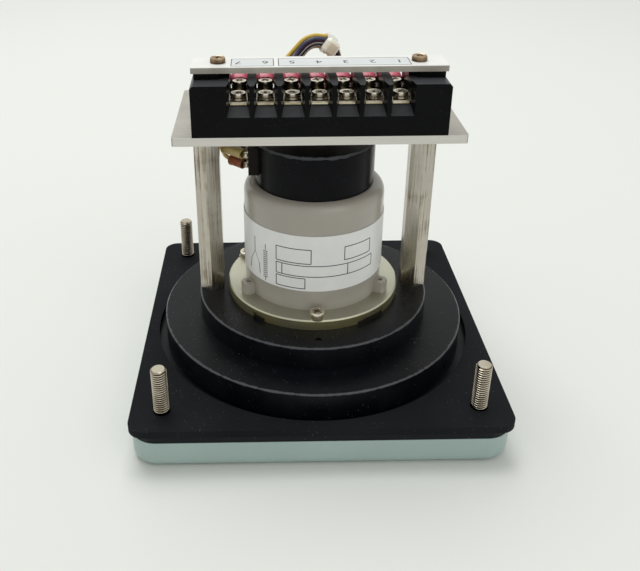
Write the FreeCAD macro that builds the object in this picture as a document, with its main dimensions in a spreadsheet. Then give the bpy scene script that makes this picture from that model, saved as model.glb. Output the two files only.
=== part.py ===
import FreeCAD, Part
import math
import os
import re

import Sketcher
from FreeCAD import Rotation, Vector

os.makedirs("parts", exist_ok=True)
doc = FreeCAD.newDocument("rudder_angle_indicator")

# Driving sizes in millimetres and degrees. The indicator stands on its face: z is 0 at the face,
# +Z runs out of the back along the pointer's axis, and -Y is the side of the front terminal row.
SIZES = (
    # Front frame and window
    ("bezel_side", 143, "square front frame, side"),
    ("bezel_depth", 12, "front frame, face to flange"),
    ("bezel_corner", 10, "front frame, corner radius seen from the front"),
    ("bezel_edge", 4, "front frame, rounding of the front edge"),
    ("window_inset", 14.5, "opening in the front lip, inside the frame's side"),
    ("window_bevel", 2, "bevel round the opening"),
    ("lip_thickness", 3, "front lip"),
    ("glass_seat_inset", 10.3, "recess that takes the glass, inside the frame's side"),
    ("seal_thickness", 0.8, "window seal"),
    ("seal_width", 3.4, "window seal, radial"),
    ("glass_thickness", 2, "window glass"),
    ("glass_play", 0.4, "glass and spacer to recess wall"),
    ("spacer_wall", 1.6, "spacer ring, radial"),
    # Housing
    ("flange_thickness", 3, "square flange of the housing"),
    ("flange_inset", 0.2, "flange edge inside the front frame's edge"),
    ("chamber_step", 1.3, "dial chamber wall inside the glass recess"),
    ("drum_inset", 7.6, "lower step inside the frame's side"),
    ("drum_rise", 12.3, "lower step above the flange"),
    ("drum_roof", 3, "wall under the lower step"),
    ("step_rise", 9.6, "upper step above the lower one"),
    ("step_wall", 3.6, "wall of the upper step"),
    ("step_roof", 3.4, "wall under the upper step"),
    ("edge_break", 0.5, "chamfer on turned edges"),
    # Panel gasket and studs
    ("gasket_overhang", 0.5, "square gasket beyond the front frame's edge"),
    ("gasket_thickness", 3, "gasket"),
    ("gasket_corner", 6, "gasket, corner radius"),
    ("gasket_hole_play", 3.3, "round hole in the gasket, outside the lower step"),
    ("stud_inset", 11.5, "studs inside the front frame's sides"),
    ("stud_radius", 3, "studs, over their thread"),
    ("stud_root_radius", 2.65, "studs, plain root"),
    ("stud_thread_gap", 0.6, "threads of the studs above the gasket"),
    ("stud_tip", 37.5, "stud ends above the face"),
    ("stud_sink", 8, "studs pressed into the front frame"),
    ("stud_chamfer", 0.7, "stud ends"),
    ("stud_clearance", 0.3, "flange and gasket holes round the studs"),
    # Screws that join frame and housing
    ("bezel_screw_inset", 19, "frame screws inside the front frame's sides"),
    ("bezel_screw_radius", 2, "frame screws, shank"),
    ("bezel_screw_head", 3.8, "frame screws, head radius"),
    ("bezel_screw_cone", 2.2, "frame screws, head depth"),
    ("bezel_screw_length", 10, "frame screws, whole length"),
    # Fits shared by several pieces
    ("fit_gap", 0.05, "close fit, radial"),
    ("screw_gap", 0.2, "clearance hole round a screw, radial"),
    ("hole_end", 0.6, "hole beyond the end of what it holds"),
    ("head_side_share", 0.65, "straight side of a pan head, of its height"),
    ("head_top_share", 0.8, "top of a pan head, of its radius"),
    ("cut_over", 1, "overrun of cuts"),
    # Mounting ring of the synchro
    ("ring_land", 7.5, "mounting ring outside the case"),
    ("ring_thickness", 4.2, "mounting ring"),
    ("pilot_radius", 22, "spigot under the ring"),
    ("pilot_depth", 3.4, "spigot under the ring"),
    ("register_height", 2, "collar that centres the case"),
    ("notch_depth", 1.5, "rim notches, radial"),
    ("notch_height", 2.4, "rim notches"),
    ("notch_wide", 14, "wide rim notch, along the rim"),
    ("notch_narrow", 6, "narrow rim notch, along the rim"),
    ("notch_wide_angle", 38, "wide rim notch, right of the front"),
    ("notch_narrow_angle", 40, "narrow rim notch, left of the front"),
    ("flange_screw_inset", 3.1, "ring screws inside the ring's rim"),
    ("flange_screw_radius", 1.5, "ring screws, shank"),
    ("flange_screw_head", 3, "ring screws, head radius"),
    ("flange_screw_rise", 2.3, "ring screws, head height"),
    ("flange_screw_length", 6.6, "ring screws, under the washer"),
    ("washer_radius", 3.3, "ring screw washers"),
    ("washer_thickness", 0.6, "ring screw washers"),
    ("service_radius", 1.3, "plugged service holes"),
    ("service_depth", 2, "plugged service holes"),
    ("service_upper_inset", 5.7, "service hole in the upper step, inside its edge"),
    ("service_lower_share", 0.36, "service hole in the lower step, across its width"),
    # Synchro case
    ("case_radius", 28.6, "case"),
    ("case_wall", 2, "case"),
    ("case_height", 45.9, "case"),
    ("case_roof", 3, "end wall of the case"),
    ("seat_wall", 2.4, "wall round the rear bearing seat"),
    ("seat_lip", 1, "lip under the rear bearing"),
    ("ear_screw_land", 1.7, "ear screws outside the case"),
    ("ear_width", 5.4, "ears"),
    ("ear_length", 4.4, "ears outside the case"),
    ("ear_height", 5, "ears"),
    ("ear_chamfer", 1.3, "ear corners"),
    ("ear_angle", 64, "side ears, from the front"),
    ("ear_screw_radius", 1, "ear screws"),
    ("ear_screw_sink", 0.8, "ear screws below the ear's top"),
    ("band_low", 9.1, "nameplate band above the ring"),
    ("band_height", 24.4, "nameplate band"),
    ("band_thickness", 0.3, "nameplate band"),
    ("band_angle", 330, "nameplate band round the case"),
    # Cap and terminals of the synchro
    ("shoulder_radius", 4.5, "shoulder of the case, round the end cap"),
    ("cap_height", 18, "end cap"),
    ("cap_wall", 1.6, "end cap"),
    ("cap_chamfer", 1, "end cap's top edge"),
    ("board_proud", 2.4, "terminal board outside the cap"),
    ("board_depth", 9, "terminal board, along X"),
    ("board_width", 16, "terminal board, along Y"),
    ("board_low", 4.4, "terminal board above the case"),
    ("board_height", 11.1, "terminal board"),
    ("board_gap", 0.4, "cap window round the board"),
    ("lug_root", 1, "solder lugs outside the board, up to their bend"),
    ("lug_arm", 3, "solder lugs beyond their bend"),
    ("lug_bend", 45, "bend of the solder lugs"),
    ("lug_sink", 2, "solder lugs inside the board"),
    ("lug_width", 2.4, "solder lugs"),
    ("lug_thickness", 0.7, "solder lugs"),
    ("lug_pitch", 6.4, "solder lugs, side by side"),
    ("lug_upper", 12.5, "upper lugs above the case"),
    ("lug_lower", 7, "lower lugs above the case"),
    # Inside of the synchro
    ("shaft_radius", 3, "rotor shaft"),
    ("shaft_tip_radius", 1.5, "shaft where the pointer sits"),
    ("shaft_tip_length", 5, "shaft where the pointer sits"),
    ("shaft_rear", 14, "shaft beyond the case"),
    ("shaft_play", 0.4, "holes that the shaft turns in"),
    ("bearing_radius", 7.5, "ball bearings"),
    ("bearing_width", 5, "ball bearings"),
    ("core_low", 8.5, "laminated cores above the ring"),
    ("core_height", 22, "laminated cores"),
    ("stator_bore", 16, "bore of the stator core"),
    ("air_gap", 0.4, "rotor core to stator core"),
    ("winding_height", 4.5, "end turns above and below the stator core"),
    ("winding_clearance", 2.55, "end turns inside the stator core's rim"),
    ("winding_setback", 1, "end turns outside the stator's bore"),
    ("rotor_waist", 4.5, "half width of the rotor core's waist"),
    ("coil_thickness", 5.5, "rotor coil sides"),
    ("hub_radius", 5, "slip ring hub"),
    ("hub_low", 1, "slip ring hub above the case"),
    ("hub_height", 9, "slip ring hub"),
    ("slip_radius", 6.6, "slip rings"),
    ("slip_height", 2, "slip rings"),
    ("slip_low", 1.5, "lower slip ring above the hub's foot"),
    ("slip_spacing", 4, "slip rings, one to the next"),
    ("brush_side", 1.2, "brushes"),
    ("brush_gap", 0.3, "brush tips to slip rings"),
    # Hexagonal posts and the plate that they carry
    ("post_flats", 10, "posts, across flats"),
    ("post_room", 2, "posts outside the ring"),
    ("post_inset", 0.4, "posts inside the upper step's edge"),
    ("plate_headroom", 6.9, "terminal plate above the end cap"),
    ("spigot_radius", 3, "threaded end of a post"),
    ("spigot_length", 8, "threaded end of a post"),
    ("post_boss_radius", 5, "bosses under the upper step"),
    ("post_boss_depth", 6, "bosses under the upper step"),
    ("plate_width", 107, "terminal plate"),
    ("plate_depth", 57, "terminal plate"),
    ("plate_thickness", 3.2, "terminal plate"),
    ("plate_corner", 1, "terminal plate, corner radius"),
    ("post_screw_radius", 2.5, "plate screws, shank"),
    ("post_screw_head", 4.6, "plate screws, head radius"),
    ("post_screw_cone", 2.4, "plate screws, head depth"),
    ("post_screw_length", 12, "plate screws, whole length"),
    # Terminal block
    ("pole_count", 7, "poles"),
    ("pole_pitch", 9.7, "one pole to the next"),
    ("block_width", 92, "block"),
    ("block_depth", 30, "block"),
    ("block_height", 19, "block and its barriers"),
    ("sill_height", 7.5, "front and rear sills"),
    ("floor_height", 10.5, "floor of the cells"),
    ("floor_setback", 4.5, "floor of the cells behind the sill's edge"),
    ("barrier_thickness", 3.2, "barriers between cells"),
    ("barrier_nose", 1.5, "barriers at their front edge"),
    ("end_chamfer", 1, "top outer edges of the block"),
    ("pedestal_height", 2.2, "pedestals under the strip"),
    ("pedestal_inset", 1, "pedestals inside the block's ends"),
    ("pedestal_chamfer", 4, "inner corners of the pedestals"),
    ("row_offset", 7.5, "screw rows from the block's centre line"),
    ("bar_width", 5.9, "link bars"),
    ("bar_thickness", 0.8, "link bars"),
    ("bar_gap", 0.4, "link bar ends to the slopes"),
    ("clamp_side", 5.9, "square clamp washers"),
    ("clamp_thickness", 0.9, "square clamp washers"),
    ("clamp_corner", 0.9, "square clamp washers, corner radius"),
    ("pole_screw_radius", 1.5, "pole screws, shank"),
    ("pole_screw_head", 2.7, "pole screws, head radius"),
    ("pole_screw_rise", 2.4, "pole screws, head height"),
    ("pole_screw_top_share", 0.92, "top of a pole screw's head, of its radius"),
    ("pole_screw_length", 6, "pole screws, below the clamp washer"),
    ("block_screw_place", 39.5, "block screws, from the centre"),
    ("block_screw_radius", 2, "block screws, shank"),
    ("block_screw_head", 3.6, "block screws, head radius"),
    ("block_screw_rise", 2.6, "block screws, head height"),
    ("block_screw_reach", 8, "block screws inside the block"),
    # Crimped ring terminals of the rear row
    ("tongue_radius", 2.8, "ring of a terminal"),
    ("tongue_thickness", 0.8, "ring of a terminal"),
    ("neck_width", 2.6, "neck of a terminal"),
    ("barrel_start", 4.2, "barrel behind the screw's axis"),
    ("barrel_length", 4, "barrel"),
    ("barrel_radius", 1.5, "barrel"),
    ("sleeve_radius", 2.1, "insulating sleeve"),
    ("sleeve_bore", 1.6, "insulating sleeve"),
    ("sleeve_length", 9, "insulating sleeve"),
    # Marking strip
    ("strip_width", 92, "marking strip"),
    ("strip_depth", 14, "marking strip"),
    ("strip_thickness", 2.2, "marking strip"),
    ("strip_screw_place", 36.5, "strip screws, from the centre"),
    ("strip_screw_radius", 1.5, "strip screws, shank"),
    ("strip_screw_head", 2.8, "strip screws, head radius"),
    ("strip_screw_rise", 2, "strip screws, head height"),
    ("strip_screw_reach", 6, "strip screws inside the block"),
    # Dial side
    ("dial_gap", 0.5, "dial to chamber wall"),
    ("dial_thickness", 1, "dial plate"),
    ("dial_drop", 0.6, "dial plate above the front frame's back"),
    ("dial_hole", 4, "hole for the pointer's hub"),
    ("pillar_radius", 2.6, "dial pillars"),
    ("dial_screw_radius", 1, "dial screws, shank"),
    ("dial_screw_head", 2, "dial screws, head radius"),
    ("dial_screw_rise", 1.2, "dial screws, head height"),
    ("dial_screw_length", 5, "dial screws, shank"),
    ("pointer_clearance", 12.9, "pointer tip to the chamber's wall"),
    ("pointer_tail", 17, "pointer tail from the axis"),
    ("pointer_width", 5, "pointer at its root"),
    ("pointer_tip", 0.8, "pointer at its tip"),
    ("pointer_thickness", 0.8, "pointer"),
    ("pointer_gap", 2.4, "pointer's back to the dial's face"),
    ("pointer_hub_radius", 3.4, "pointer hub"),
    ("pointer_hub_height", 3.6, "pointer hub"),
    ("pointer_cap_radius", 2.6, "pointer's nut"),
    ("pointer_cap_height", 1.2, "pointer's nut"),
    ("lamp_board_width", 46, "lamp board"),
    ("lamp_board_depth", 13, "lamp board"),
    ("lamp_board_thickness", 1.6, "lamp board"),
    ("lamp_board_inset", 4.5, "lamp board's middle inside the upper step's edge"),
    ("lamp_pitch", 32, "lamps, one to the other"),
    ("lamp_holder_radius", 4.5, "lamp holders"),
    ("lamp_holder_height", 4, "lamp holders"),
    ("lamp_radius", 3, "lamp bulbs"),
    ("lamp_height", 3.8, "lamp bulbs"),
    ("lamp_tip_share", 0.6, "bulb's radius at its end, of its whole radius"),
    ("lamp_side_share", 0.5, "bulb's straight side, of its height"),
    # Leads
    ("lead_radius", 0.9, "leads"),
    ("lead_spacing", 2.1, "leads side by side in their bundle"),
    ("lug_sleeve_radius", 2.1, "sleeves on the lugs"),
    ("lug_sleeve_bore", 1.4, "sleeves on the lugs"),
    ("lug_sleeve_lap", 1.5, "sleeves over the lugs' ends"),
    ("tie_width", 3.6, "cable tie"),
    ("tie_thickness", 0.9, "cable tie"),
    ("tie_gap", 0.2, "cable tie round the bundle"),
    ("tie_head_length", 6.2, "head of the cable tie, along the bundle"),
    ("tie_head_width", 6.4, "head of the cable tie, across the bundle"),
    ("tie_head_height", 3.2, "head of the cable tie"),
    ("tie_head_edge", 1.1, "head of the cable tie, chamfer of its outer edges"),
    ("grommet_x", 10, "lamp lead grommet, right of the axis"),
    ("grommet_inset", 8.6, "lamp lead grommet, inside the upper step's edge"),
    ("grommet_neck", 3, "grommet where it passes the wall"),
    ("grommet_rim", 4.2, "grommet's rims"),
    ("grommet_rim_height", 1, "grommet's rims"),
    ("grommet_bore", 2.5, "grommet's hole"),
)

# Sizes that follow from those above
DERIVED = {
    "window_radius": "bezel_side / 2 - window_inset",
    "glass_seat_radius": "bezel_side / 2 - glass_seat_inset",
    "drum_radius": "bezel_side / 2 - drum_inset",
    "gasket_hole_radius": "drum_radius + gasket_hole_play",
    "stud_place": "bezel_side / 2 - stud_inset",
    "bezel_screw_place": "bezel_side / 2 - bezel_screw_inset",
    "ring_radius": "case_radius + ring_land",
    "flange_screw_circle": "ring_radius - flange_screw_inset",
    "step_radius": "ring_radius + post_room + post_flats + post_inset",
    "service_upper_place": "step_radius - service_upper_inset",
    "service_lower_place": "step_radius + (drum_radius - step_radius) * service_lower_share",
    "ear_circle": "case_radius + ear_screw_land",
    "ear_reach": "case_radius + ear_length",
    "cap_radius": "case_radius - shoulder_radius",
    "register_radius": "case_radius - case_wall - fit_gap",
    "post_length": "ring_thickness + case_height + cap_height + plate_headroom",
    "chamber_radius": "glass_seat_radius - chamber_step",
    "pillar_circle": "(step_radius - step_wall + chamber_radius) / 2",
    "pointer_reach": "chamber_radius - pointer_clearance",
    "lamp_board_place": "step_radius - lamp_board_inset",
    "grommet_y": "step_radius - grommet_inset",
}

WORDS = {word for word, number, meaning in SIZES}
sheet = doc.addObject("Spreadsheet::Sheet", "sizes")
for row, (word, number, meaning) in enumerate(SIZES, 1):
    sheet.set(f"A{row}", meaning)
    sheet.set(f"B{row}", str(number))
    sheet.setAlias(f"B{row}", word)
doc.recompute()

# Heights above the face, as sums of the sizes
LEVEL_GLASS = "(lip_thickness + seal_thickness)"
LEVEL_GASKET = "(bezel_depth + flange_thickness)"
LEVEL_DRUM = f"({LEVEL_GASKET} + drum_rise)"
LEVEL_STEP = f"({LEVEL_DRUM} + step_rise)"
LEVEL_CASE = f"({LEVEL_STEP} + ring_thickness)"
LEVEL_CAP = f"({LEVEL_CASE} + case_height)"
LEVEL_PLATE = f"({LEVEL_STEP} + post_length)"
LEVEL_BLOCK = f"({LEVEL_PLATE} + plate_thickness)"
LEVEL_BAR = f"({LEVEL_BLOCK} + floor_height)"
LEVEL_STRIP = f"({LEVEL_BLOCK} + block_height + pedestal_height)"
LEVEL_DIAL = "(bezel_depth + dial_drop)"
GLASS_RADIUS = "(glass_seat_radius - glass_play)"
POST_X = "(step_radius - post_flats / 2 - post_inset)"
BLOCK_Y = "(block_depth / 2 - plate_depth / 2)"
FIRST_POLE = "(-pole_pitch * (pole_count - 1) / 2)"
REAR_ROW_Y = f"({BLOCK_Y} + row_offset)"
BARREL_LEVEL = f"({LEVEL_BAR} + bar_thickness + barrel_radius)"

subparts = []


def bound(text):
    """Expression text with derived sizes written out, in which each size's word names its cell."""
    def cell(found):
        word = found.group()
        if word in DERIVED:
            return f"({bound(DERIVED[word])})"
        return f"sizes.{word}" if word in WORDS else word

    return re.sub(r"[a-z_]+", cell, text)


def value(text):
    """Number that an expression of sizes gives now."""
    answer = sheet.evalExpression(bound(text))
    return float(getattr(answer, "Value", answer))


def bind(thing, texts):
    """Binds properties of an object to expressions of the sizes."""
    for path, text in texts.items():
        thing.setExpression(path, bound(text))


def body_at(name, z="0", x="0", y="0", turn="0"):
    """New sub-part whose own origin stands at the given place, turned about +Z."""
    body = doc.addObject("PartDesign::Body", name)
    body.Label = name
    body.Placement.Rotation = Rotation(Vector(0, 0, 1), 0)
    bind(body, {
        "Placement.Base.x": x,
        "Placement.Base.y": y,
        "Placement.Base.z": z,
        "Placement.Rotation.Angle": turn,
    })
    subparts.append(body)
    return body


def origin_part(body, role):
    """Plane or axis of a body's own origin."""
    return next(item for item in body.Origin.OriginFeatures if item.Role == role)


def sketch_on(body, name, plane="XY_Plane", level="0", x="0", y="0"):
    """Empty sketch on an origin plane, moved along its normal and within it."""
    sketch = body.newObject("Sketcher::SketchObject", name)
    sketch.AttachmentSupport = [(origin_part(body, plane), "")]
    sketch.MapMode = "FlatFace"
    bind(sketch, {
        "AttachmentOffset.Base.x": x,
        "AttachmentOffset.Base.y": y,
        "AttachmentOffset.Base.z": level,
    })
    return sketch


def hold(sketch, kind, text, *places):
    """Adds a dimension to a sketch and binds it to the sizes."""
    index = sketch.addConstraint(Sketcher.Constraint(kind, *places, value(text)))
    sketch.setExpression(f"Constraints[{index}]", bound(text))


def outline(sketch, corners):
    """Closed polygon whose corners are given as pairs of expressions."""
    places = [Vector(value(across), value(up), 0) for across, up in corners]
    first = sketch.GeometryCount
    for start, end in zip(places, places[1:] + places[:1]):
        sketch.addGeometry(Part.LineSegment(start, end), False)
    for index, (across, up) in enumerate(corners):
        following = first + (index + 1) % len(corners)
        sketch.addConstraint(Sketcher.Constraint("Coincident", first + index, 2, following, 1))
        hold(sketch, "DistanceX", across, -1, 1, first + index, 1)
        hold(sketch, "DistanceY", up, -1, 1, first + index, 1)


def rectangle(sketch, x_low, x_high, y_low, y_high):
    """Rectangle between two expressions each way."""
    outline(sketch, [(x_low, y_low), (x_high, y_low), (x_high, y_high), (x_low, y_high)])


def circle(sketch, radius, x="0", y="0"):
    """Circle with its centre and radius bound to the sizes."""
    place = Vector(value(x), value(y), 0)
    index = sketch.addGeometry(Part.Circle(place, Vector(0, 0, 1), value(radius)), False)
    hold(sketch, "DistanceX", x, -1, 1, index, 3)
    hold(sketch, "DistanceY", y, -1, 1, index, 3)
    hold(sketch, "Radius", radius, index)


def pad(body, name, sketch, length, backwards=False):
    """Solid raised from a sketch along its normal, or against it."""
    feature = body.newObject("PartDesign::Pad", name)
    feature.Profile = sketch
    feature.Reversed = backwards
    bind(feature, {"Length": length})
    return feature


def pocket(body, name, sketch, length, along_normal=False):
    """Cut from a sketch against its normal, or along it."""
    feature = body.newObject("PartDesign::Pocket", name)
    feature.Profile = sketch
    feature.Reversed = along_normal
    bind(feature, {"Length": length})
    return feature


def spun(body, kind, name, corners, x, y):
    """Revolution or groove of a profile of (radius, height) pairs about an upright axis at x, y."""
    sketch = sketch_on(body, name + "_profile", "XZ_Plane", level=f"-({y})", x=x)
    outline(sketch, corners)
    feature = body.newObject(kind, name)
    feature.Profile = sketch
    feature.ReferenceAxis = (sketch, ["V_Axis"])
    feature.Angle = 360
    return feature


def turned(body, name, corners, x="0", y="0"):
    """Solid of revolution."""
    return spun(body, "PartDesign::Revolution", name, corners, x, y)


def bored(body, name, corners, x="0", y="0"):
    """Cut of revolution."""
    return spun(body, "PartDesign::Groove", name, corners, x, y)


def around(body, name, features, count):
    """Copies of features spread evenly about the body's Z axis."""
    pattern = body.newObject("PartDesign::PolarPattern", name)
    pattern.Originals = features
    pattern.Axis = (origin_part(body, "Z_Axis"), [""])
    pattern.Angle = 360
    pattern.Occurrences = count
    body.Tip = pattern
    return pattern


def along(body, name, features, length, count, axis="X_Axis"):
    """Copies of features in a row."""
    pattern = body.newObject("PartDesign::LinearPattern", name)
    pattern.Originals = features
    pattern.Direction = (origin_part(body, axis), [""])
    bind(pattern, {"Length": length, "Occurrences": count})
    body.Tip = pattern
    return pattern


def softened(body, name, base, test, size, kind="PartDesign::Fillet"):
    """Fillet or chamfer on the edges of a feature that pass a test."""
    doc.recompute()
    picked = [f"Edge{place}" for place, edge in enumerate(base.Shape.Edges, 1) if test(edge)]
    feature = body.newObject(kind, name)
    feature.Base = (base, picked)
    bind(feature, {"Radius" if kind.endswith("Fillet") else "Size": size})
    return feature


def upright(edge):
    """Whether an edge is a straight line along Z."""
    box = edge.BoundBox
    return isinstance(edge.Curve, Part.Line) and box.ZLength > box.XLength + box.YLength


def level_with(edge, height):
    """Whether an edge lies at one height."""
    box = edge.BoundBox
    slack = value("fit_gap") / 10
    return abs(box.ZMin - height) < slack and abs(box.ZMax - height) < slack


def ring_profile(inner, outer, low, high):
    """Corners of a rectangular ring section."""
    return [(inner, low), (outer, low), (outer, high), (inner, high)]


def make_bezel():
    """Square front frame: rounded outside, bevelled round window, recess for the glass."""
    body = body_at("bezel")
    sketch = sketch_on(body, "frame_square")
    half = "bezel_side / 2"
    rectangle(sketch, f"-{half}", half, f"-{half}", half)
    block = pad(body, "frame_block", sketch, "bezel_depth")
    corners = softened(body, "frame_corners", block, upright, "bezel_corner")
    front = softened(body, "front_edge", corners, lambda edge: level_with(edge, 0), "bezel_edge")
    sketch = sketch_on(body, "window_circle")
    circle(sketch, "window_radius")
    window = pocket(body, "window", sketch, "lip_thickness", along_normal=True)
    sketch = sketch_on(body, "seat_circle", level="lip_thickness")
    circle(sketch, "glass_seat_radius")
    seat = pocket(body, "glass_seat", sketch, "bezel_depth - lip_thickness + cut_over", along_normal=True)
    radius = value("window_radius")

    def window_edge(edge):
        round_edge = isinstance(edge.Curve, Part.Circle)
        return round_edge and level_with(edge, 0) and abs(edge.Curve.Radius - radius) < value("fit_gap")

    softened(body, "window_bevel_cut", seat, window_edge, "window_bevel", "PartDesign::Chamfer")
    sketch = sketch_on(body, "stud_circle", level="bezel_depth")
    circle(sketch, "stud_root_radius + fit_gap", "stud_place", "stud_place")
    stud_hole = pocket(body, "stud_hole", sketch, "stud_sink")
    sketch = sketch_on(body, "screw_circle", level="bezel_depth")
    circle(sketch, "bezel_screw_radius + fit_gap", "bezel_screw_place", "bezel_screw_place")
    depth = "bezel_screw_length - flange_thickness + hole_end"
    screw_hole = pocket(body, "screw_hole", sketch, depth)
    around(body, "holes_all_round", [stud_hole, screw_hole], 4)


def make_window():
    """Seal, glass and the spacer ring that the housing presses on the glass."""
    body = body_at("window_seal", "lip_thickness")
    outer = "glass_seat_radius - glass_play"
    turned(body, "seal", ring_profile(f"{outer} - seal_width", outer, "0", "seal_thickness"))
    body = body_at("window_glass", LEVEL_GLASS)
    turned(body, "disc", ring_profile("0", GLASS_RADIUS, "0", "glass_thickness"))
    body = body_at("spacer_ring", f"{LEVEL_GLASS} + glass_thickness")
    height = f"bezel_depth - {LEVEL_GLASS} - glass_thickness"
    turned(body, "ring", ring_profile(f"{GLASS_RADIUS} - spacer_wall", GLASS_RADIUS, "0", height))


def make_bezel_screws():
    """Four flat-head screws, flush with the back of the flange."""
    body = body_at("bezel_screws", LEVEL_GASKET)
    first = turned(body, "screw", [
        ("0", "0"),
        ("bezel_screw_head", "0"),
        ("bezel_screw_radius", "-bezel_screw_cone"),
        ("bezel_screw_radius", "-bezel_screw_length"),
        ("0", "-bezel_screw_length"),
    ], "bezel_screw_place", "bezel_screw_place")
    around(body, "screws", [first], 4)


def make_housing():
    """Casting with a square flange, two round steps and the chamber of the dial."""
    body = body_at("housing", "bezel_depth")
    drum_top = "(flange_thickness + drum_rise)"
    step_top = f"({drum_top} + step_rise)"
    sketch = sketch_on(body, "flange_square")
    half = "(bezel_side / 2 - flange_inset)"
    rectangle(sketch, f"-{half}", half, f"-{half}", half)
    flange = pad(body, "flange", sketch, "flange_thickness")
    softened(body, "flange_corners", flange, upright, "bezel_corner - flange_inset")
    turned(body, "steps", [
        ("0", "0"),
        ("drum_radius", "0"),
        ("drum_radius", f"{drum_top} - edge_break"),
        ("drum_radius - edge_break", drum_top),
        ("step_radius", drum_top),
        ("step_radius", f"{step_top} - edge_break"),
        ("step_radius - edge_break", step_top),
        ("0", step_top),
    ])
    bored(body, "chamber", [
        ("0", "0"),
        ("chamber_radius", "0"),
        ("chamber_radius", f"{drum_top} - drum_roof"),
        ("step_radius - step_wall", f"{drum_top} - drum_roof"),
        ("step_radius - step_wall", f"{step_top} - step_roof"),
        ("0", f"{step_top} - step_roof"),
    ])
    sketch = sketch_on(body, "boss_circles", level=f"{step_top} - step_roof")
    circle(sketch, "post_boss_radius", POST_X)
    circle(sketch, "post_boss_radius", f"-{POST_X}")
    pad(body, "post_bosses", sketch, "post_boss_depth", backwards=True)
    sketch = sketch_on(body, "pilot_circle", level=step_top)
    circle(sketch, "pilot_radius + fit_gap")
    circle(sketch, "grommet_neck + fit_gap", "grommet_x", "grommet_y")
    pocket(body, "roof_holes", sketch, "step_roof + cut_over")
    sketch = sketch_on(body, "spigot_circles", level=step_top)
    circle(sketch, "spigot_radius + fit_gap", POST_X)
    circle(sketch, "spigot_radius + fit_gap", f"-{POST_X}")
    pocket(body, "spigot_holes", sketch, "spigot_length + hole_end")
    sketch = sketch_on(body, "service_circles", level=step_top)
    circle(sketch, "service_radius + fit_gap", "0", "-service_upper_place")
    pocket(body, "upper_service_hole", sketch, "service_depth")
    sketch = sketch_on(body, "lower_service_circle", level=drum_top)
    circle(sketch, "service_radius + fit_gap", "0", "-service_lower_place")
    pocket(body, "lower_service_hole", sketch, "service_depth")
    sketch = sketch_on(body, "ring_screw_circle", level=step_top)
    circle(sketch, "flange_screw_radius + fit_gap", "0", "-flange_screw_circle")
    ring_hole = pocket(body, "ring_screw_hole", sketch, "step_roof + cut_over")
    around(body, "ring_screw_holes", [ring_hole], 3)
    sketch = sketch_on(body, "stud_circle", level="flange_thickness")
    circle(sketch, "stud_radius + stud_clearance", "stud_place", "stud_place")
    stud_hole = pocket(body, "stud_hole", sketch, "flange_thickness + cut_over")
    countersink = bored(body, "countersink", [
        ("0", "flange_thickness"),
        ("bezel_screw_head + fit_gap", "flange_thickness"),
        ("bezel_screw_radius + fit_gap", "flange_thickness - bezel_screw_cone"),
        ("bezel_screw_radius + fit_gap", "-cut_over"),
        ("0", "-cut_over"),
    ], "bezel_screw_place", "bezel_screw_place")
    around(body, "flange_holes", [stud_hole, countersink], 4)


def make_service_plugs():
    """Small sealed plugs in the tops of the two steps."""
    body = body_at("service_plugs", LEVEL_STEP)
    turned(body, "upper_plug", [
        ("0", "-service_depth"),
        ("service_radius", "-service_depth"),
        ("service_radius", "-edge_break"),
        ("0", "-edge_break"),
    ], "0", "-service_upper_place")
    turned(body, "lower_plug", [
        ("0", "-step_rise - service_depth"),
        ("service_radius", "-step_rise - service_depth"),
        ("service_radius", "-step_rise"),
        ("0", "-step_rise"),
    ], "0", "-service_lower_place")


def make_gasket():
    """Square rubber gasket between the flange and the ship's panel."""
    body = body_at("panel_gasket", LEVEL_GASKET)
    sketch = sketch_on(body, "gasket_square")
    half = "(bezel_side / 2 + gasket_overhang)"
    rectangle(sketch, f"-{half}", half, f"-{half}", half)
    sheet_pad = pad(body, "sheet", sketch, "gasket_thickness")
    softened(body, "gasket_corners", sheet_pad, upright, "gasket_corner")
    sketch = sketch_on(body, "gasket_circle", level="gasket_thickness")
    circle(sketch, "gasket_hole_radius")
    pocket(body, "round_hole", sketch, "gasket_thickness + cut_over")
    sketch = sketch_on(body, "stud_circle", level="gasket_thickness")
    circle(sketch, "stud_radius + stud_clearance", "stud_place", "stud_place")
    stud_hole = pocket(body, "stud_hole", sketch, "gasket_thickness + cut_over")
    around(body, "stud_holes", [stud_hole], 4)


def make_studs():
    """Four studs pressed into the front frame, which reach through the panel."""
    body = body_at("mounting_studs")
    low = "bezel_depth - stud_sink"
    thread_low = f"{LEVEL_GASKET} + gasket_thickness + stud_thread_gap"
    first = turned(body, "stud", [
        ("0", low),
        ("stud_root_radius", low),
        ("stud_root_radius", thread_low),
        ("stud_radius", thread_low),
        ("stud_radius", "stud_tip - stud_chamfer"),
        ("stud_radius - stud_chamfer", "stud_tip"),
        ("0", "stud_tip"),
    ], "stud_place", "stud_place")
    around(body, "studs", [first], 4)


def from_front(radius, angle, across="0"):
    """Place at a radius and an angle counted from the front (-Y) towards +X, moved sideways."""
    x = f"(({radius}) * sin({angle}) + ({across}) * cos({angle}))"
    y = f"(({across}) * sin({angle}) - ({radius}) * cos({angle}))"
    return x, y


def rim_notch(body, name, width, angle):
    """Notch milled into the lower edge of the mounting ring's rim."""
    sketch = sketch_on(body, name + "_plan")
    inner = "ring_radius - notch_depth"
    outer = "ring_radius + cut_over"
    outline(sketch, [
        from_front(inner, angle, f"-{width} / 2"),
        from_front(outer, angle, f"-{width} / 2"),
        from_front(outer, angle, f"{width} / 2"),
        from_front(inner, angle, f"{width} / 2"),
    ])
    pocket(body, name, sketch, "notch_height", along_normal=True)


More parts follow.
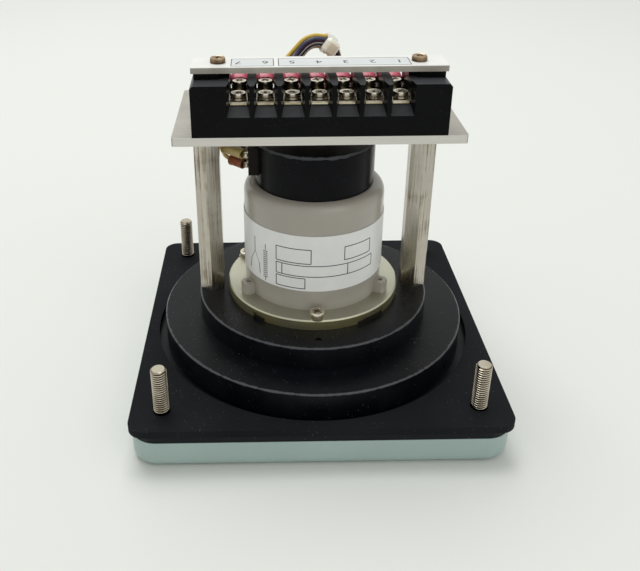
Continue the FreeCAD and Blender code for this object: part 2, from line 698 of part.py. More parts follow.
def make_mount_flange():
    """Turned end ring of the synchro: pilot, bearing seat, collar for the case, rim notches."""
    body = body_at("mount_flange", LEVEL_STEP)
    seat_top = "bearing_width - pilot_depth"
    collar_top = "ring_thickness + register_height"
    turned(body, "ring", [
        ("bearing_radius + fit_gap", "-pilot_depth"),
        ("pilot_radius", "-pilot_depth"),
        ("pilot_radius", "0"),
        ("ring_radius", "0"),
        ("ring_radius", "ring_thickness - edge_break"),
        ("ring_radius - edge_break", "ring_thickness"),
        ("register_radius", "ring_thickness"),
        ("register_radius", collar_top),
        ("shaft_radius + shaft_play", collar_top),
        ("shaft_radius + shaft_play", seat_top),
        ("bearing_radius + fit_gap", seat_top),
    ])
    rim_notch(body, "wide_notch", "notch_wide", "notch_wide_angle")
    rim_notch(body, "narrow_notch", "notch_narrow", "-notch_narrow_angle")
    sketch = sketch_on(body, "screw_circle", level="ring_thickness")
    circle(sketch, "flange_screw_radius + screw_gap", "0", "-flange_screw_circle")
    hole = pocket(body, "screw_hole", sketch, "ring_thickness + cut_over")
    around(body, "screw_holes", [hole], 3)


def make_flange_screws():
    """Three pan-head screws with captive washers, which hold the ring to the housing."""
    body = body_at("flange_screws", f"{LEVEL_CASE} + washer_thickness")
    first = turned(body, "screw", [
        ("0", "-flange_screw_length"),
        ("flange_screw_radius", "-flange_screw_length"),
        ("flange_screw_radius", "-washer_thickness"),
        ("washer_radius", "-washer_thickness"),
        ("washer_radius", "0"),
        ("flange_screw_head", "0"),
        ("flange_screw_head", "flange_screw_rise * head_side_share"),
        ("flange_screw_head * head_top_share", "flange_screw_rise"),
        ("0", "flange_screw_rise"),
    ], "0", "-flange_screw_circle")
    around(body, "screws", [first], 3)


EAR_ANGLES = ("ear_angle", "-ear_angle", "180")


def make_case():
    """Case of the synchro: rounded shoulder, rear bearing seat and three cast ears."""
    body = body_at("synchro_case", LEVEL_CASE)
    seat = "bearing_radius + fit_gap"
    seat_foot = "case_height - bearing_width"
    bore = "case_radius - case_wall"
    shell = turned(body, "shell", [
        (bore, "0"),
        ("case_radius", "0"),
        ("case_radius", "case_height"),
        (seat, "case_height"),
        (seat, seat_foot),
        ("shaft_radius + shaft_play", seat_foot),
        ("shaft_radius + shaft_play", f"{seat_foot} - seat_lip"),
        (f"{seat} + seat_wall", f"{seat_foot} - seat_lip"),
        (f"{seat} + seat_wall", "case_height - case_roof"),
        (bore, "case_height - case_roof"),
    ])
    height = value("case_height")
    radius = value("case_radius")

    def shoulder_edge(edge):
        return level_with(edge, height) and abs(edge.BoundBox.XLength / 2 - radius) < value("fit_gap")

    softened(body, "shoulder", shell, shoulder_edge, "shoulder_radius")
    sketch = sketch_on(body, "ear_plan")
    half = "ear_width / 2"
    root = "case_radius - case_wall / 2"
    for angle in EAR_ANGLES:
        outline(sketch, [
            from_front(root, angle, f"-{half}"),
            from_front("ear_reach - ear_chamfer", angle, f"-{half}"),
            from_front("ear_reach", angle, f"ear_chamfer - {half}"),
            from_front("ear_reach", angle, f"{half} - ear_chamfer"),
            from_front("ear_reach - ear_chamfer", angle, half),
            from_front(root, angle, half),
        ])
    pad(body, "ears", sketch, "ear_height")
    sketch = sketch_on(body, "ear_hole_plan", level="ear_height")
    for angle in EAR_ANGLES:
        circle(sketch, "ear_screw_radius + fit_gap", *from_front("ear_circle", angle))
    pocket(body, "ear_holes", sketch, "ear_height + cut_over")


def make_ear_screws():
    """Grub screws sunk in the ears."""
    body = body_at("ear_screws", LEVEL_CASE)
    sketch = sketch_on(body, "screw_plan")
    for angle in EAR_ANGLES:
        circle(sketch, "ear_screw_radius", *from_front("ear_circle", angle))
    pad(body, "screws", sketch, "ear_height - ear_screw_sink")


def make_band():
    """Thin plate bent round the case, open at the back."""
    body = body_at("nameplate_band", f"{LEVEL_CASE} + band_low", turn="-90")
    inner = "case_radius + fit_gap"
    sketch = sketch_on(body, "band_section", "XZ_Plane")
    outline(sketch, ring_profile(inner, f"{inner} + band_thickness", "0", "band_height"))
    feature = body.newObject("PartDesign::Revolution", "band")
    feature.Profile = sketch
    feature.ReferenceAxis = (sketch, ["V_Axis"])
    feature.Midplane = True
    bind(feature, {"Angle": "band_angle"})


def make_cap():
    """Moulded cap with a window in its left side, and the terminal board that fills the window."""
    body = body_at("synchro_end_cap", LEVEL_CAP)
    inner = "cap_radius - cap_wall"
    turned(body, "shell", [
        ("0", "cap_height - cap_wall"),
        (inner, "cap_height - cap_wall"),
        (inner, "0"),
        ("cap_radius", "0"),
        ("cap_radius", "cap_height - cap_chamfer"),
        ("cap_radius - cap_chamfer", "cap_height"),
        ("0", "cap_height"),
    ])
    sketch = sketch_on(body, "window_section", "YZ_Plane", level="-(cap_radius + cut_over)")
    reach = "board_width / 2 + board_gap"
    rectangle(sketch, f"-({reach})", reach, "board_low - board_gap", "board_low + board_height + board_gap")
    depth = "board_depth - board_proud + cut_over"
    pocket(body, "window", sketch, depth, along_normal=True)
    body = body_at("terminal_board", LEVEL_CAP)
    sketch = sketch_on(body, "board_section", "YZ_Plane", level="-(cap_radius + board_proud)")
    rectangle(sketch, "-board_width / 2", "board_width / 2", "board_low", "board_low + board_height")
    pad(body, "board", sketch, "board_depth")
    sketch = sketch_on(body, "lug_slots", "YZ_Plane", level="-(cap_radius + board_proud + cut_over)")
    lug_slots(sketch)
    pocket(body, "slots", sketch, "lug_sink + cut_over", along_normal=True)


# Solder lugs: place along Y and height above the case
LUGS = {
    "front_upper": ("-lug_pitch", "lug_upper"),
    "middle_upper": ("0", "lug_upper"),
    "rear_upper": ("lug_pitch", "lug_upper"),
    "front_lower": ("-lug_pitch / 2", "lug_lower"),
    "rear_lower": ("lug_pitch / 2", "lug_lower"),
}


def lug_slots(sketch):
    """Slots for the five solder lugs, seen along X."""
    for across, up in LUGS.values():
        rectangle(
            sketch,
            f"{across} - lug_thickness / 2 - fit_gap",
            f"{across} + lug_thickness / 2 + fit_gap",
            f"{up} - lug_width / 2 - fit_gap",
            f"{up} + lug_width / 2 + fit_gap",
        )


def make_lugs():
    """Five solder lugs standing out of the terminal board, bent towards the back."""
    body = body_at("solder_lugs", LEVEL_CAP)
    root = "-(cap_radius + board_proud - lug_sink)"
    bend = "-(cap_radius + board_proud + lug_root)"
    half = "lug_thickness / 2"
    mitre = f"{half} * tan(lug_bend / 2)"
    for level in ("lug_lower", "lug_upper"):
        sketch = sketch_on(body, level + "_plan", level=f"{level} - lug_width / 2")
        for across in (place for place, up in LUGS.values() if up == level):
            tip_x, tip_y = lug_tip(across)
            outline(sketch, [
                (root, f"{across} - {half}"),
                (root, f"{across} + {half}"),
                (f"{bend} + {mitre}", f"{across} + {half}"),
                (f"{tip_x} + {half} * sin(lug_bend)", f"{tip_y} + {half} * cos(lug_bend)"),
                (f"{tip_x} - {half} * sin(lug_bend)", f"{tip_y} - {half} * cos(lug_bend)"),
                (f"{bend} - {mitre}", f"{across} - {half}"),
            ])
        pad(body, level + "_row", sketch, "lug_width")


def lug_tip(across):
    """Place of a lug's end, from its place on the board."""
    x = "(-(cap_radius + board_proud + lug_root) - lug_arm * cos(lug_bend))"
    return x, f"({across} + lug_arm * sin(lug_bend))"


def make_bearings():
    """Front bearing in the mounting ring and rear bearing in the case."""
    section = ring_profile("shaft_radius + fit_gap", "bearing_radius", "0", "bearing_width")
    body = body_at("front_bearing", f"{LEVEL_STEP} - pilot_depth")
    turned(body, "ring", section)
    body = body_at("rear_bearing", f"{LEVEL_CAP} - bearing_width")
    turned(body, "ring", section)


def make_stator():
    """Laminated stator core with its end turns above and below."""
    body = body_at("stator_core", f"{LEVEL_CASE} + core_low")
    turned(body, "core", ring_profile("stator_bore", "register_radius", "0", "core_height"))
    body = body_at("stator_windings", f"{LEVEL_CASE} + core_low")
    inner = "stator_bore + winding_setback"
    outer = "register_radius - winding_clearance"
    turned(body, "lower_turns", ring_profile(inner, outer, "-winding_height", "0"))
    top = "core_height + winding_height"
    turned(body, "upper_turns", ring_profile(inner, outer, "core_height", top))


def make_rotor():
    """Shaft, dumbbell core, its coil sides, and the slip rings on their hub."""
    tip = f"({LEVEL_DIAL} - pointer_gap - pointer_thickness - pointer_cap_height)"
    body = body_at("rotor_shaft", tip)
    shoulder = "shaft_tip_length"
    top = f"{LEVEL_CAP} + shaft_rear - {tip}"
    turned(body, "shaft", [
        ("0", "0"),
        ("shaft_tip_radius", "0"),
        ("shaft_tip_radius", shoulder),
        ("shaft_radius", shoulder),
        ("shaft_radius", top),
        ("0", top),
    ])
    rotor_radius = "(stator_bore - air_gap)"
    body = body_at("rotor_core", f"{LEVEL_CASE} + core_low")
    turned(body, "core", ring_profile("shaft_radius + fit_gap", rotor_radius, "0", "core_height"))
    sketch = sketch_on(body, "coil_slots", level="core_height")
    for side in ("", "-"):
        outer = f"{side}({rotor_radius} + cut_over)"
        inner = f"{side}rotor_waist"
        rectangle(sketch, *sorted((inner, outer), key=value), "-coil_thickness", "coil_thickness")
    pocket(body, "slots", sketch, "core_height + cut_over")
    body = body_at("rotor_winding", f"{LEVEL_CASE} + core_low")
    sketch = sketch_on(body, "coil_sides")
    for side in ("", "-"):
        outer = f"{side}({rotor_radius} - rotor_waist + fit_gap)"
        inner = f"{side}(rotor_waist + fit_gap)"
        reach = "coil_thickness - fit_gap"
        rectangle(sketch, *sorted((inner, outer), key=value), f"-({reach})", reach)
    pad(body, "coils", sketch, "core_height")
    body = body_at("slip_ring_hub", f"{LEVEL_CAP} + hub_low")
    turned(body, "hub", ring_profile("shaft_radius + fit_gap", "hub_radius", "0", "hub_height"))
    body = body_at("slip_rings", f"{LEVEL_CAP} + hub_low + slip_low")
    profile = ring_profile("hub_radius + fit_gap", "slip_radius", "0", "slip_height")
    first = turned(body, "slip_ring", profile)
    along(body, "rings", [first], "slip_spacing", "2", "Z_Axis")


def make_brushes():
    """Brush block behind the terminal board, and its two brushes."""
    level = f"{LEVEL_CAP} + hub_low + slip_low"
    tip = "(slip_radius + brush_gap)"
    board_inside = "(cap_radius + board_proud - board_depth)"
    body = body_at("brush_block", LEVEL_CAP)
    sketch = sketch_on(body, "block_plan")
    width = "lug_pitch / 2"
    rectangle(sketch, f"-{board_inside}", f"-({tip} + brush_side)", f"-{width}", width)
    pad(body, "block", sketch, "board_low + board_height")
    sketch = sketch_on(body, "brush_slots", "YZ_Plane", level=f"-({tip})")
    brush_sections(sketch, "fit_gap")
    depth = f"{board_inside} - {tip} - brush_side"
    pocket(body, "slots", sketch, depth)
    body = body_at("brushes", level)
    sketch = sketch_on(body, "brush_plan", "YZ_Plane", level=f"-({tip})")
    half = "brush_side / 2"
    middle = "slip_height / 2"
    for up in (middle, f"({middle} + slip_spacing)"):
        rectangle(sketch, f"-{half}", half, f"{up} - {half}", f"{up} + {half}")
    pad(body, "brush", sketch, f"{depth} - brush_side", backwards=True)


def brush_sections(sketch, gap):
    """Sections of the two brushes, seen along X, widened by a gap."""
    half = f"(brush_side / 2 + {gap})"
    for rise in ("0", "slip_spacing"):
        up = f"(hub_low + slip_low + slip_height / 2 + {rise})"
        rectangle(sketch, f"-{half}", half, f"{up} - {half}", f"{up} + {half}")


def make_posts():
    """Two hexagonal standoffs with a threaded end below and a tapped hole above."""
    for name, place in (("left_post", f"-{POST_X}"), ("right_post", POST_X)):
        body = body_at(name, LEVEL_STEP, x=place)
        sketch = sketch_on(body, "hexagon")
        flat = "post_flats / 2"
        outline(sketch, [
            (flat, f"-{flat} * tan(30)"),
            (flat, f"{flat} * tan(30)"),
            ("0", f"{flat} / cos(30)"),
            (f"-{flat}", f"{flat} * tan(30)"),
            (f"-{flat}", f"-{flat} * tan(30)"),
            ("0", f"-{flat} / cos(30)"),
        ])
        pad(body, "shank", sketch, "post_length")
        sketch = sketch_on(body, "spigot_circle")
        circle(sketch, "spigot_radius")
        pad(body, "spigot", sketch, "spigot_length", backwards=True)
        sketch = sketch_on(body, "tapping_circle", level="post_length")
        circle(sketch, "post_screw_radius + fit_gap")
        pocket(body, "tapping", sketch, "post_screw_length - plate_thickness + hole_end")


def make_plate():
    """Brushed plate across the posts, with countersunk holes and two plain ones."""
    body = body_at("terminal_plate", LEVEL_PLATE)
    sketch = sketch_on(body, "plate_plan")
    rectangle(sketch, "-plate_width / 2", "plate_width / 2", "-plate_depth / 2", "plate_depth / 2")
    block = pad(body, "plate", sketch, "plate_thickness")
    softened(body, "plate_corners", block, upright, "plate_corner")
    sink = bored(body, "countersink", [
        ("0", "plate_thickness"),
        ("post_screw_head + fit_gap", "plate_thickness"),
        ("post_screw_radius + screw_gap", "plate_thickness - post_screw_cone"),
        ("post_screw_radius + screw_gap", "-cut_over"),
        ("0", "-cut_over"),
    ], POST_X)
    around(body, "countersinks", [sink], 2)
    sketch = sketch_on(body, "block_screw_circles", level="plate_thickness")
    circle(sketch, "block_screw_radius + screw_gap", "block_screw_place", BLOCK_Y)
    circle(sketch, "block_screw_radius + screw_gap", "-block_screw_place", BLOCK_Y)
    pocket(body, "block_screw_holes", sketch, "plate_thickness + cut_over")
    body = body_at("post_screws", LEVEL_BLOCK)
    first = turned(body, "screw", [
        ("0", "0"),
        ("post_screw_head", "0"),
        ("post_screw_radius", "-post_screw_cone"),
        ("post_screw_radius", "-post_screw_length"),
        ("0", "-post_screw_length"),
    ], POST_X)
    around(body, "screws", [first], 2)


def barrier_plan(place):
    """Plan of a barrier: full thickness over the cells, tapering to thin noses at both rows."""
    back = "block_depth / 2"
    full = "(block_depth / 2 - floor_setback)"
    thick = "barrier_thickness / 2"
    nose = "barrier_nose / 2"
    return [
        (f"{place} - {nose}", f"-{back}"),
        (f"{place} + {nose}", f"-{back}"),
        (f"{place} + {thick}", f"-{full}"),
        (f"{place} + {thick}", full),
        (f"{place} + {nose}", back),
        (f"{place} - {nose}", back),
        (f"{place} - {thick}", full),
        (f"{place} - {thick}", f"-{full}"),
    ]


def make_block():
    """Barrier block: sills and floor along its length, barriers between the poles, solid ends."""
    body = body_at("terminal_block", LEVEL_BLOCK, y=BLOCK_Y)
    back = "block_depth / 2"
    full = "(block_depth / 2 - floor_setback)"
    half = "block_width / 2"
    outer_cell = "(pole_pitch * pole_count / 2)"
    sketch = sketch_on(body, "cell_section", "YZ_Plane", level=f"-{half}")
    outline(sketch, [
        (f"-{back}", "0"),
        (back, "0"),
        (back, "sill_height"),
        (full, "floor_height"),
        (f"-{full}", "floor_height"),
        (f"-{back}", "sill_height"),
    ])
    pad(body, "base", sketch, "block_width")
    sketch = sketch_on(body, "end_plans")
    inside = f"({outer_cell} - barrier_thickness / 2)"
    nose = f"({outer_cell} - barrier_nose / 2)"
    for side in ("", "-"):
        outline(sketch, [
            (f"{side}{half}", f"-{back}"),
            (f"{side}{half}", back),
            (f"{side}{nose}", back),
            (f"{side}{inside}", full),
            (f"{side}{inside}", f"-{full}"),
            (f"{side}{nose}", f"-{back}"),
        ])
    ends = pad(body, "ends", sketch, "block_height")
    top = value("block_height")
    side_x = value(half)

    def outer_top(edge):
        return level_with(edge, top) and abs(abs(edge.CenterOfMass.x) - side_x) < value("fit_gap")

    softened(body, "end_edges", ends, outer_top, "end_chamfer", "PartDesign::Chamfer")
    sketch = sketch_on(body, "barrier_outline")
    outline(sketch, barrier_plan(f"{FIRST_POLE} + pole_pitch / 2"))
    barrier = pad(body, "barrier", sketch, "block_height")
    along(body, "barriers", [barrier], "pole_pitch * (pole_count - 2)", "pole_count - 1")
    sketch = sketch_on(body, "pedestal_plans", level="block_height")
    outside = f"({half} - pedestal_inset)"
    reach = "strip_depth / 2"
    for side in ("", "-"):
        outline(sketch, [
            (f"{side}{outside}", f"-{reach}"),
            (f"{side}{outside}", reach),
            (f"{side}({inside} + pedestal_chamfer)", reach),
            (f"{side}{inside}", f"{reach} - pedestal_chamfer"),
            (f"{side}{inside}", f"pedestal_chamfer - {reach}"),
            (f"{side}({inside} + pedestal_chamfer)", f"-{reach}"),
        ])
    pad(body, "pedestals", sketch, "pedestal_height")
    sketch = sketch_on(body, "strip_screw_circles", level="block_height + pedestal_height")
    circle(sketch, "strip_screw_radius + fit_gap", "strip_screw_place")
    circle(sketch, "strip_screw_radius + fit_gap", "-strip_screw_place")
    pocket(body, "strip_screw_holes", sketch, "strip_screw_reach + hole_end")
    sketch = sketch_on(body, "block_screw_circles")
    circle(sketch, "block_screw_radius + fit_gap", "block_screw_place")
    circle(sketch, "block_screw_radius + fit_gap", "-block_screw_place")
    pocket(body, "block_screw_holes", sketch, "block_screw_reach + hole_end", along_normal=True)
    sketch = sketch_on(body, "pole_circles", level="floor_height")
    for row in ("-row_offset", "row_offset"):
        circle(sketch, "pole_screw_radius + screw_gap", FIRST_POLE, row)
    pole_holes = pocket(body, "pole_hole", sketch, "pole_screw_length + hole_end")
    along(body, "pole_holes", [pole_holes], "pole_pitch * (pole_count - 1)", "pole_count")


def pole_row(body, name, features):
    """Copies of the first pole's features at every pole."""
    return along(body, name, features, "pole_pitch * (pole_count - 1)", "pole_count")


def pan_screw(body, name, row, under):
    """Pan-head screw at the first pole in one row, on a plate of the given thickness."""
    return turned(body, name, [
        ("0", f"{under} - pole_screw_length"),
        ("pole_screw_radius", f"{under} - pole_screw_length"),
        ("pole_screw_radius", under),
        ("pole_screw_head", under),
        ("pole_screw_head", f"{under} + pole_screw_rise * head_side_share"),
        ("pole_screw_head * pole_screw_top_share", f"{under} + pole_screw_rise"),
        ("0", f"{under} + pole_screw_rise"),
    ], FIRST_POLE, row)


def make_pole_hardware():
    """Link bars, clamp washers, the two rows of screws and the crimped ring terminals."""
    body = body_at("link_bars", LEVEL_BAR, y=BLOCK_Y)
    reach = "(block_depth / 2 - floor_setback - bar_gap)"
    sketch = sketch_on(body, "bar_plan")
    rectangle(
        sketch, f"{FIRST_POLE} - bar_width / 2", f"{FIRST_POLE} + bar_width / 2", f"-{reach}", reach
    )
    for row in ("-row_offset", "row_offset"):
        circle(sketch, "pole_screw_radius + screw_gap", FIRST_POLE, row)
    pole_row(body, "bars", [pad(body, "bar", sketch, "bar_thickness")])
    body = body_at("clamp_washers", f"{LEVEL_BAR} + bar_thickness", y=BLOCK_Y)
    half = "clamp_side / 2"
    sketch = sketch_on(body, "washer_plan")
    rectangle(
        sketch, f"{FIRST_POLE} - {half}", f"{FIRST_POLE} + {half}",
        f"-row_offset - {half}", f"{half} - row_offset"
    )
    circle(sketch, "pole_screw_radius + screw_gap", FIRST_POLE, "-row_offset")
    washer = pad(body, "washer", sketch, "clamp_thickness")
    pole_row(body, "washers", [washer])
    body = body_at("pole_screws", f"{LEVEL_BAR} + bar_thickness", y=BLOCK_Y)
    front = pan_screw(body, "front_screw", "-row_offset", "clamp_thickness")
    rear = pan_screw(body, "rear_screw", "row_offset", "tongue_thickness")
    pole_row(body, "screws", [front, rear])
    body = body_at("ring_terminals", f"{LEVEL_BAR} + bar_thickness", y=REAR_ROW_Y)
    sketch = sketch_on(body, "ring_plan")
    circle(sketch, "tongue_radius", FIRST_POLE)
    circle(sketch, "pole_screw_radius + screw_gap", FIRST_POLE)
    tongue = pad(body, "ring", sketch, "tongue_thickness")
    sketch = sketch_on(body, "neck_plan")
    inner = "(pole_screw_radius + screw_gap + tongue_radius) / 2"
    neck_end = "barrel_start + tongue_thickness"
    rectangle(
        sketch, f"{FIRST_POLE} - neck_width / 2", f"{FIRST_POLE} + neck_width / 2", inner, neck_end
    )
    neck = pad(body, "neck", sketch, "tongue_thickness")
    sketch = sketch_on(body, "barrel_circle", "XZ_Plane", level="-barrel_start")
    circle(sketch, "barrel_radius", FIRST_POLE, "barrel_radius")
    barrel = pad(body, "barrel", sketch, "barrel_length", backwards=True)
    pole_row(body, "terminals", [tongue, neck, barrel])
    body = body_at("terminal_sleeves", BARREL_LEVEL, y=REAR_ROW_Y)
    sketch = sketch_on(body, "sleeve_circles", "XZ_Plane", level="-barrel_start - tongue_thickness - fit_gap")
    circle(sketch, "sleeve_radius", FIRST_POLE)
    circle(sketch, "sleeve_bore", FIRST_POLE)
    sleeve = pad(body, "sleeve", sketch, "sleeve_length", backwards=True)
    pole_row(body, "sleeves", [sleeve])


def make_strip():
    """Marking strip over the poles, its two screws, and the screws that hold the block."""
    body = body_at("marking_strip", LEVEL_STRIP, y=BLOCK_Y)
    sketch = sketch_on(body, "strip_plan")
    rectangle(sketch, "-strip_width / 2", "strip_width / 2", "-strip_depth / 2", "strip_depth / 2")
    circle(sketch, "strip_screw_radius + screw_gap", "strip_screw_place")
    circle(sketch, "strip_screw_radius + screw_gap", "-strip_screw_place")
    pad(body, "strip", sketch, "strip_thickness")
    body = body_at("strip_screws", f"{LEVEL_STRIP} + strip_thickness", y=BLOCK_Y)
    shank = "strip_thickness + strip_screw_reach"
    first = turned(body, "screw", [
        ("0", f"-({shank})"),
        ("strip_screw_radius", f"-({shank})"),
        ("strip_screw_radius", "0"),
        ("strip_screw_head", "0"),
        ("strip_screw_head", "strip_screw_rise * head_side_share"),
        ("strip_screw_head * head_top_share", "strip_screw_rise"),
        ("0", "strip_screw_rise"),
    ], "strip_screw_place")
    around(body, "screws", [first], 2)
    body = body_at("block_screws", LEVEL_PLATE, y=BLOCK_Y)
    reach = "plate_thickness + block_screw_reach"
    first = turned(body, "screw", [
        ("0", "-block_screw_rise"),
        ("block_screw_head", "-block_screw_rise"),
        ("block_screw_head", "0"),
        ("block_screw_radius", "0"),
        ("block_screw_radius", reach),
        ("0", reach),
    ], "block_screw_place")
    around(body, "screws", [first], 2)


def make_dial():
    """Dial plate on three pillars under the lower step, and the screws that hold it."""
    body = body_at("dial_plate", LEVEL_DIAL)
    profile = ring_profile("dial_hole", "chamber_radius - dial_gap", "0", "dial_thickness")
    turned(body, "plate", profile)
    sketch = sketch_on(body, "screw_circle", level="dial_thickness")
    circle(sketch, "dial_screw_radius + screw_gap", "0", "-pillar_circle")
    hole = pocket(body, "screw_hole", sketch, "dial_thickness + cut_over")
    around(body, "screw_holes", [hole], 3)
    body = body_at("dial_pillars", f"{LEVEL_DIAL} + dial_thickness")
    height = f"{LEVEL_DRUM} - drum_roof - {LEVEL_DIAL} - dial_thickness"
    sketch = sketch_on(body, "pillar_circles")
    circle(sketch, "pillar_radius", "0", "-pillar_circle")
    circle(sketch, "dial_screw_radius + fit_gap", "0", "-pillar_circle")
    around(body, "pillars", [pad(body, "pillar", sketch, height)], 3)
    body = body_at("dial_screws", LEVEL_DIAL)
    first = turned(body, "screw", [
        ("0", "-dial_screw_rise"),
        ("dial_screw_head * head_top_share", "-dial_screw_rise"),
        ("dial_screw_head", "-dial_screw_rise * head_side_share"),
        ("dial_screw_head", "0"),
        ("dial_screw_radius", "0"),
        ("dial_screw_radius", "dial_screw_length"),
        ("0", "dial_screw_length"),
    ], "0", "-pillar_circle")
    around(body, "screws", [first], 3)


def make_pointer():
    """Pointer with its counterweight tail, the hub behind it and the nut before it."""
    level = f"{LEVEL_DIAL} - pointer_gap - pointer_thickness"
    body = body_at("pointer", level)
    sketch = sketch_on(body, "pointer_plan")
    half = "pointer_width / 2"
    outline(sketch, [
        ("-pointer_tip / 2", "-pointer_reach"),
        ("pointer_tip / 2", "-pointer_reach"),
        (half, "-pointer_width"),
        (half, "pointer_width"),
        ("pointer_width", "pointer_tail"),
        ("-pointer_width", "pointer_tail"),
        (f"-{half}", "pointer_width"),
        (f"-{half}", "-pointer_width"),
    ])
    circle(sketch, "shaft_tip_radius + fit_gap")
    pad(body, "blade", sketch, "pointer_thickness")
    body = body_at("pointer_hub", f"{level} + pointer_thickness")
    seat = "shaft_tip_length - pointer_cap_height - pointer_thickness"
    turned(body, "hub", ring_profile("shaft_tip_radius + fit_gap", "pointer_hub_radius", "0", seat))
    body = body_at("pointer_nut", f"{level} - pointer_cap_height")
    profile = ring_profile("shaft_tip_radius + fit_gap", "pointer_cap_radius", "0", "pointer_cap_height")
    turned(body, "nut", profile)


def make_lamps():
    """Lamp board under the lower step, two holders and their bulbs, which light the dial."""
    board_low = f"({LEVEL_DRUM} - drum_roof - lamp_board_thickness)"
    body = body_at("lamp_board", board_low, y="lamp_board_place")
    sketch = sketch_on(body, "board_plan")
    half = "lamp_board_width / 2"
    rectangle(sketch, f"-{half}", half, "-lamp_board_depth / 2", "lamp_board_depth / 2")
    pad(body, "board", sketch, "lamp_board_thickness")
    body = body_at("lamp_holders", board_low, y="lamp_board_place")
    sketch = sketch_on(body, "holder_circles")
    for side in ("", "-"):
        circle(sketch, "lamp_holder_radius", f"{side}lamp_pitch / 2")
    pad(body, "holders", sketch, "lamp_holder_height", backwards=True)
    body = body_at("lamp_bulbs", f"{board_low} - lamp_holder_height", y="lamp_board_place")
    for name, place in (("right_bulb", "lamp_pitch / 2"), ("left_bulb", "-lamp_pitch / 2")):
        turned(body, name, [
            ("0", "-lamp_height"),
            ("lamp_radius * lamp_tip_share", "-lamp_height"),
            ("lamp_radius", "-lamp_height * lamp_side_share"),
            ("lamp_radius", "0"),
            ("0", "0"),
        ], place)
    body = body_at("lamp_grommet", LEVEL_STEP, x="grommet_x", y="grommet_y")
    turned(body, "grommet", [
        ("grommet_bore", "-step_roof - grommet_rim_height"),
        ("grommet_neck", "-step_roof - grommet_rim_height"),
        ("grommet_neck", "0"),
        ("grommet_rim", "0"),
        ("grommet_rim", "grommet_rim_height"),
        ("grommet_bore", "grommet_rim_height"),
    ])


# Route of the bundle's middle line, chosen by hand: from the left of the cap and behind the cap, then
# up behind the plate's rear edge, over in an arch, and down behind the terminal block.
BEHIND_CAP = (
    (-38.5, 20.0, 96.0),
    (-36.5, 30.0, 98.0),
    (-25.5, 37.5, 100.0),
    (-9.0, 39.5, 102.5),
    (9.0, 38.5, 105.5),
)
ARCH = (
    (10.5, 35.0, 118.0),
    (10.4, 31.5, 127.5),
    (7.0, 30.0, 134.6),
    (-1.0, 28.0, 136.0),
    (-8.0, 25.5, 129.0),
)
TRUNK = BEHIND_CAP + ARCH

# Lanes of the leads across the bundle, sideways and upwards at its start, in shares of their spacing
LANE_SHARES = {
    "yellow_lead": (-0.5, -0.87),
    "navy_lead": (0.5, -0.87),
    "black_lead": (1.0, 0.0),
    "beige_lead": (0.5, 0.87),
    "red_lead": (0.0, 0.0),
    "left_lamp_lead": (-1.0, 0.0),
    "right_lamp_lead": (-0.5, 0.87),
}

# Leads in the order of their poles, from the left
POLE_ORDER = (
    "left_lamp_lead", "yellow_lead", "navy_lead", "black_lead", "beige_lead", "red_lead", "right_lamp_lead",
)

# Each lead from the synchro: its lug, its straight run off the lug, its points between the bundle and
# the block, and its straight run into its pole's sleeve
SYNCHRO_LEADS = (
    ("yellow_lead", "front_lower", 8.5, ((-13.5, 21.5, 126.5),), 12.3),
    ("navy_lead", "rear_lower", 6.5, (), 11.3),
    ("black_lead", "rear_upper", 4.2, ((-5.5, 17.5, 124.5),), 9.8),
    ("beige_lead", "middle_upper", 7.0, ((-4.6, 23.5, 120.0), (3.0, 20.5, 118.7)), 12.8),
    ("red_lead", "front_upper", 10.5, ((-9.0, 24.2, 119.0), (0.0, 24.0, 116.0), (13.0, 23.5, 118.5)), 13.8),
)

# Each lead of the lamps: its points from the lamp board to the arch, which it joins from behind, its
# points between the bundle and the block, and its straight run into the sleeve
LAMP_LEADS = (
    (
        "left_lamp_lead",
        ((11.0, 39.5), (11.0, 39.5, 41.0), (11.2, 44.0, 78.0), (10.6, 43.6, 104.0)),
        ((-14.5, 25.0, 124.5), (-22.5, 21.5, 124.5)), 12.3
    ),
    (
        "right_lamp_lead",
        ((8.8, 39.5), (8.8, 39.5, 41.0), (8.3, 44.0, 78.0), (7.9, 43.6, 104.0)),
        ((-8.0, 27.6, 119.0), (1.0, 27.2, 116.2), (14.0, 26.5, 117.5), (24.5, 22.0, 123.0)), 12.8
    ),
)

# Part of the shorter of two runs that the arc at their corner takes up
SETBACK_SHARE = 0.45


def unit(vector):
    """Copy of a vector at length one."""
    copy = Vector(vector)
    copy.normalize()
    return copy


def lane(name):
    """Points of one lead beside the bundle's middle line, parallel to every run of it."""
    spine = [Vector(*point) for point in TRUNK]
    runs = [unit(after - before) for before, after in zip(spine, spine[1:])]
    sideways = unit(runs[0].cross(Vector(0, 0, 1)))
    upwards = sideways.cross(runs[0])
    across_share, up_share = LANE_SHARES[name]
    offset = (sideways * across_share + upwards * up_share) * value("lead_spacing")
    points = [spine[0] + offset]
    for corner, before, after in zip(spine[1:], runs, runs[1:]):
        mitre = unit(before + after)
        moved = offset - before * (offset.dot(mitre) / before.dot(mitre))
        points.append(corner + moved)
        offset = moved - after * moved.dot(after)
    points.append(spine[-1] + offset)
    return points


def corner_arc(before, corner, after):
    """Largest arc that rounds a corner and leaves a little of both runs straight."""
    inward = unit(before - corner)
    outward = unit(after - corner)
    turn = math.pi - inward.getAngle(outward)
    setback = SETBACK_SHARE * min((corner - before).Length, (after - corner).Length)
    radius = setback / math.tan(turn / 2)
    middle = corner + unit(inward + outward) * (radius / math.cos(turn / 2) - radius)
    return Part.Arc(corner + inward * setback, middle, corner + outward * setback).toShape()


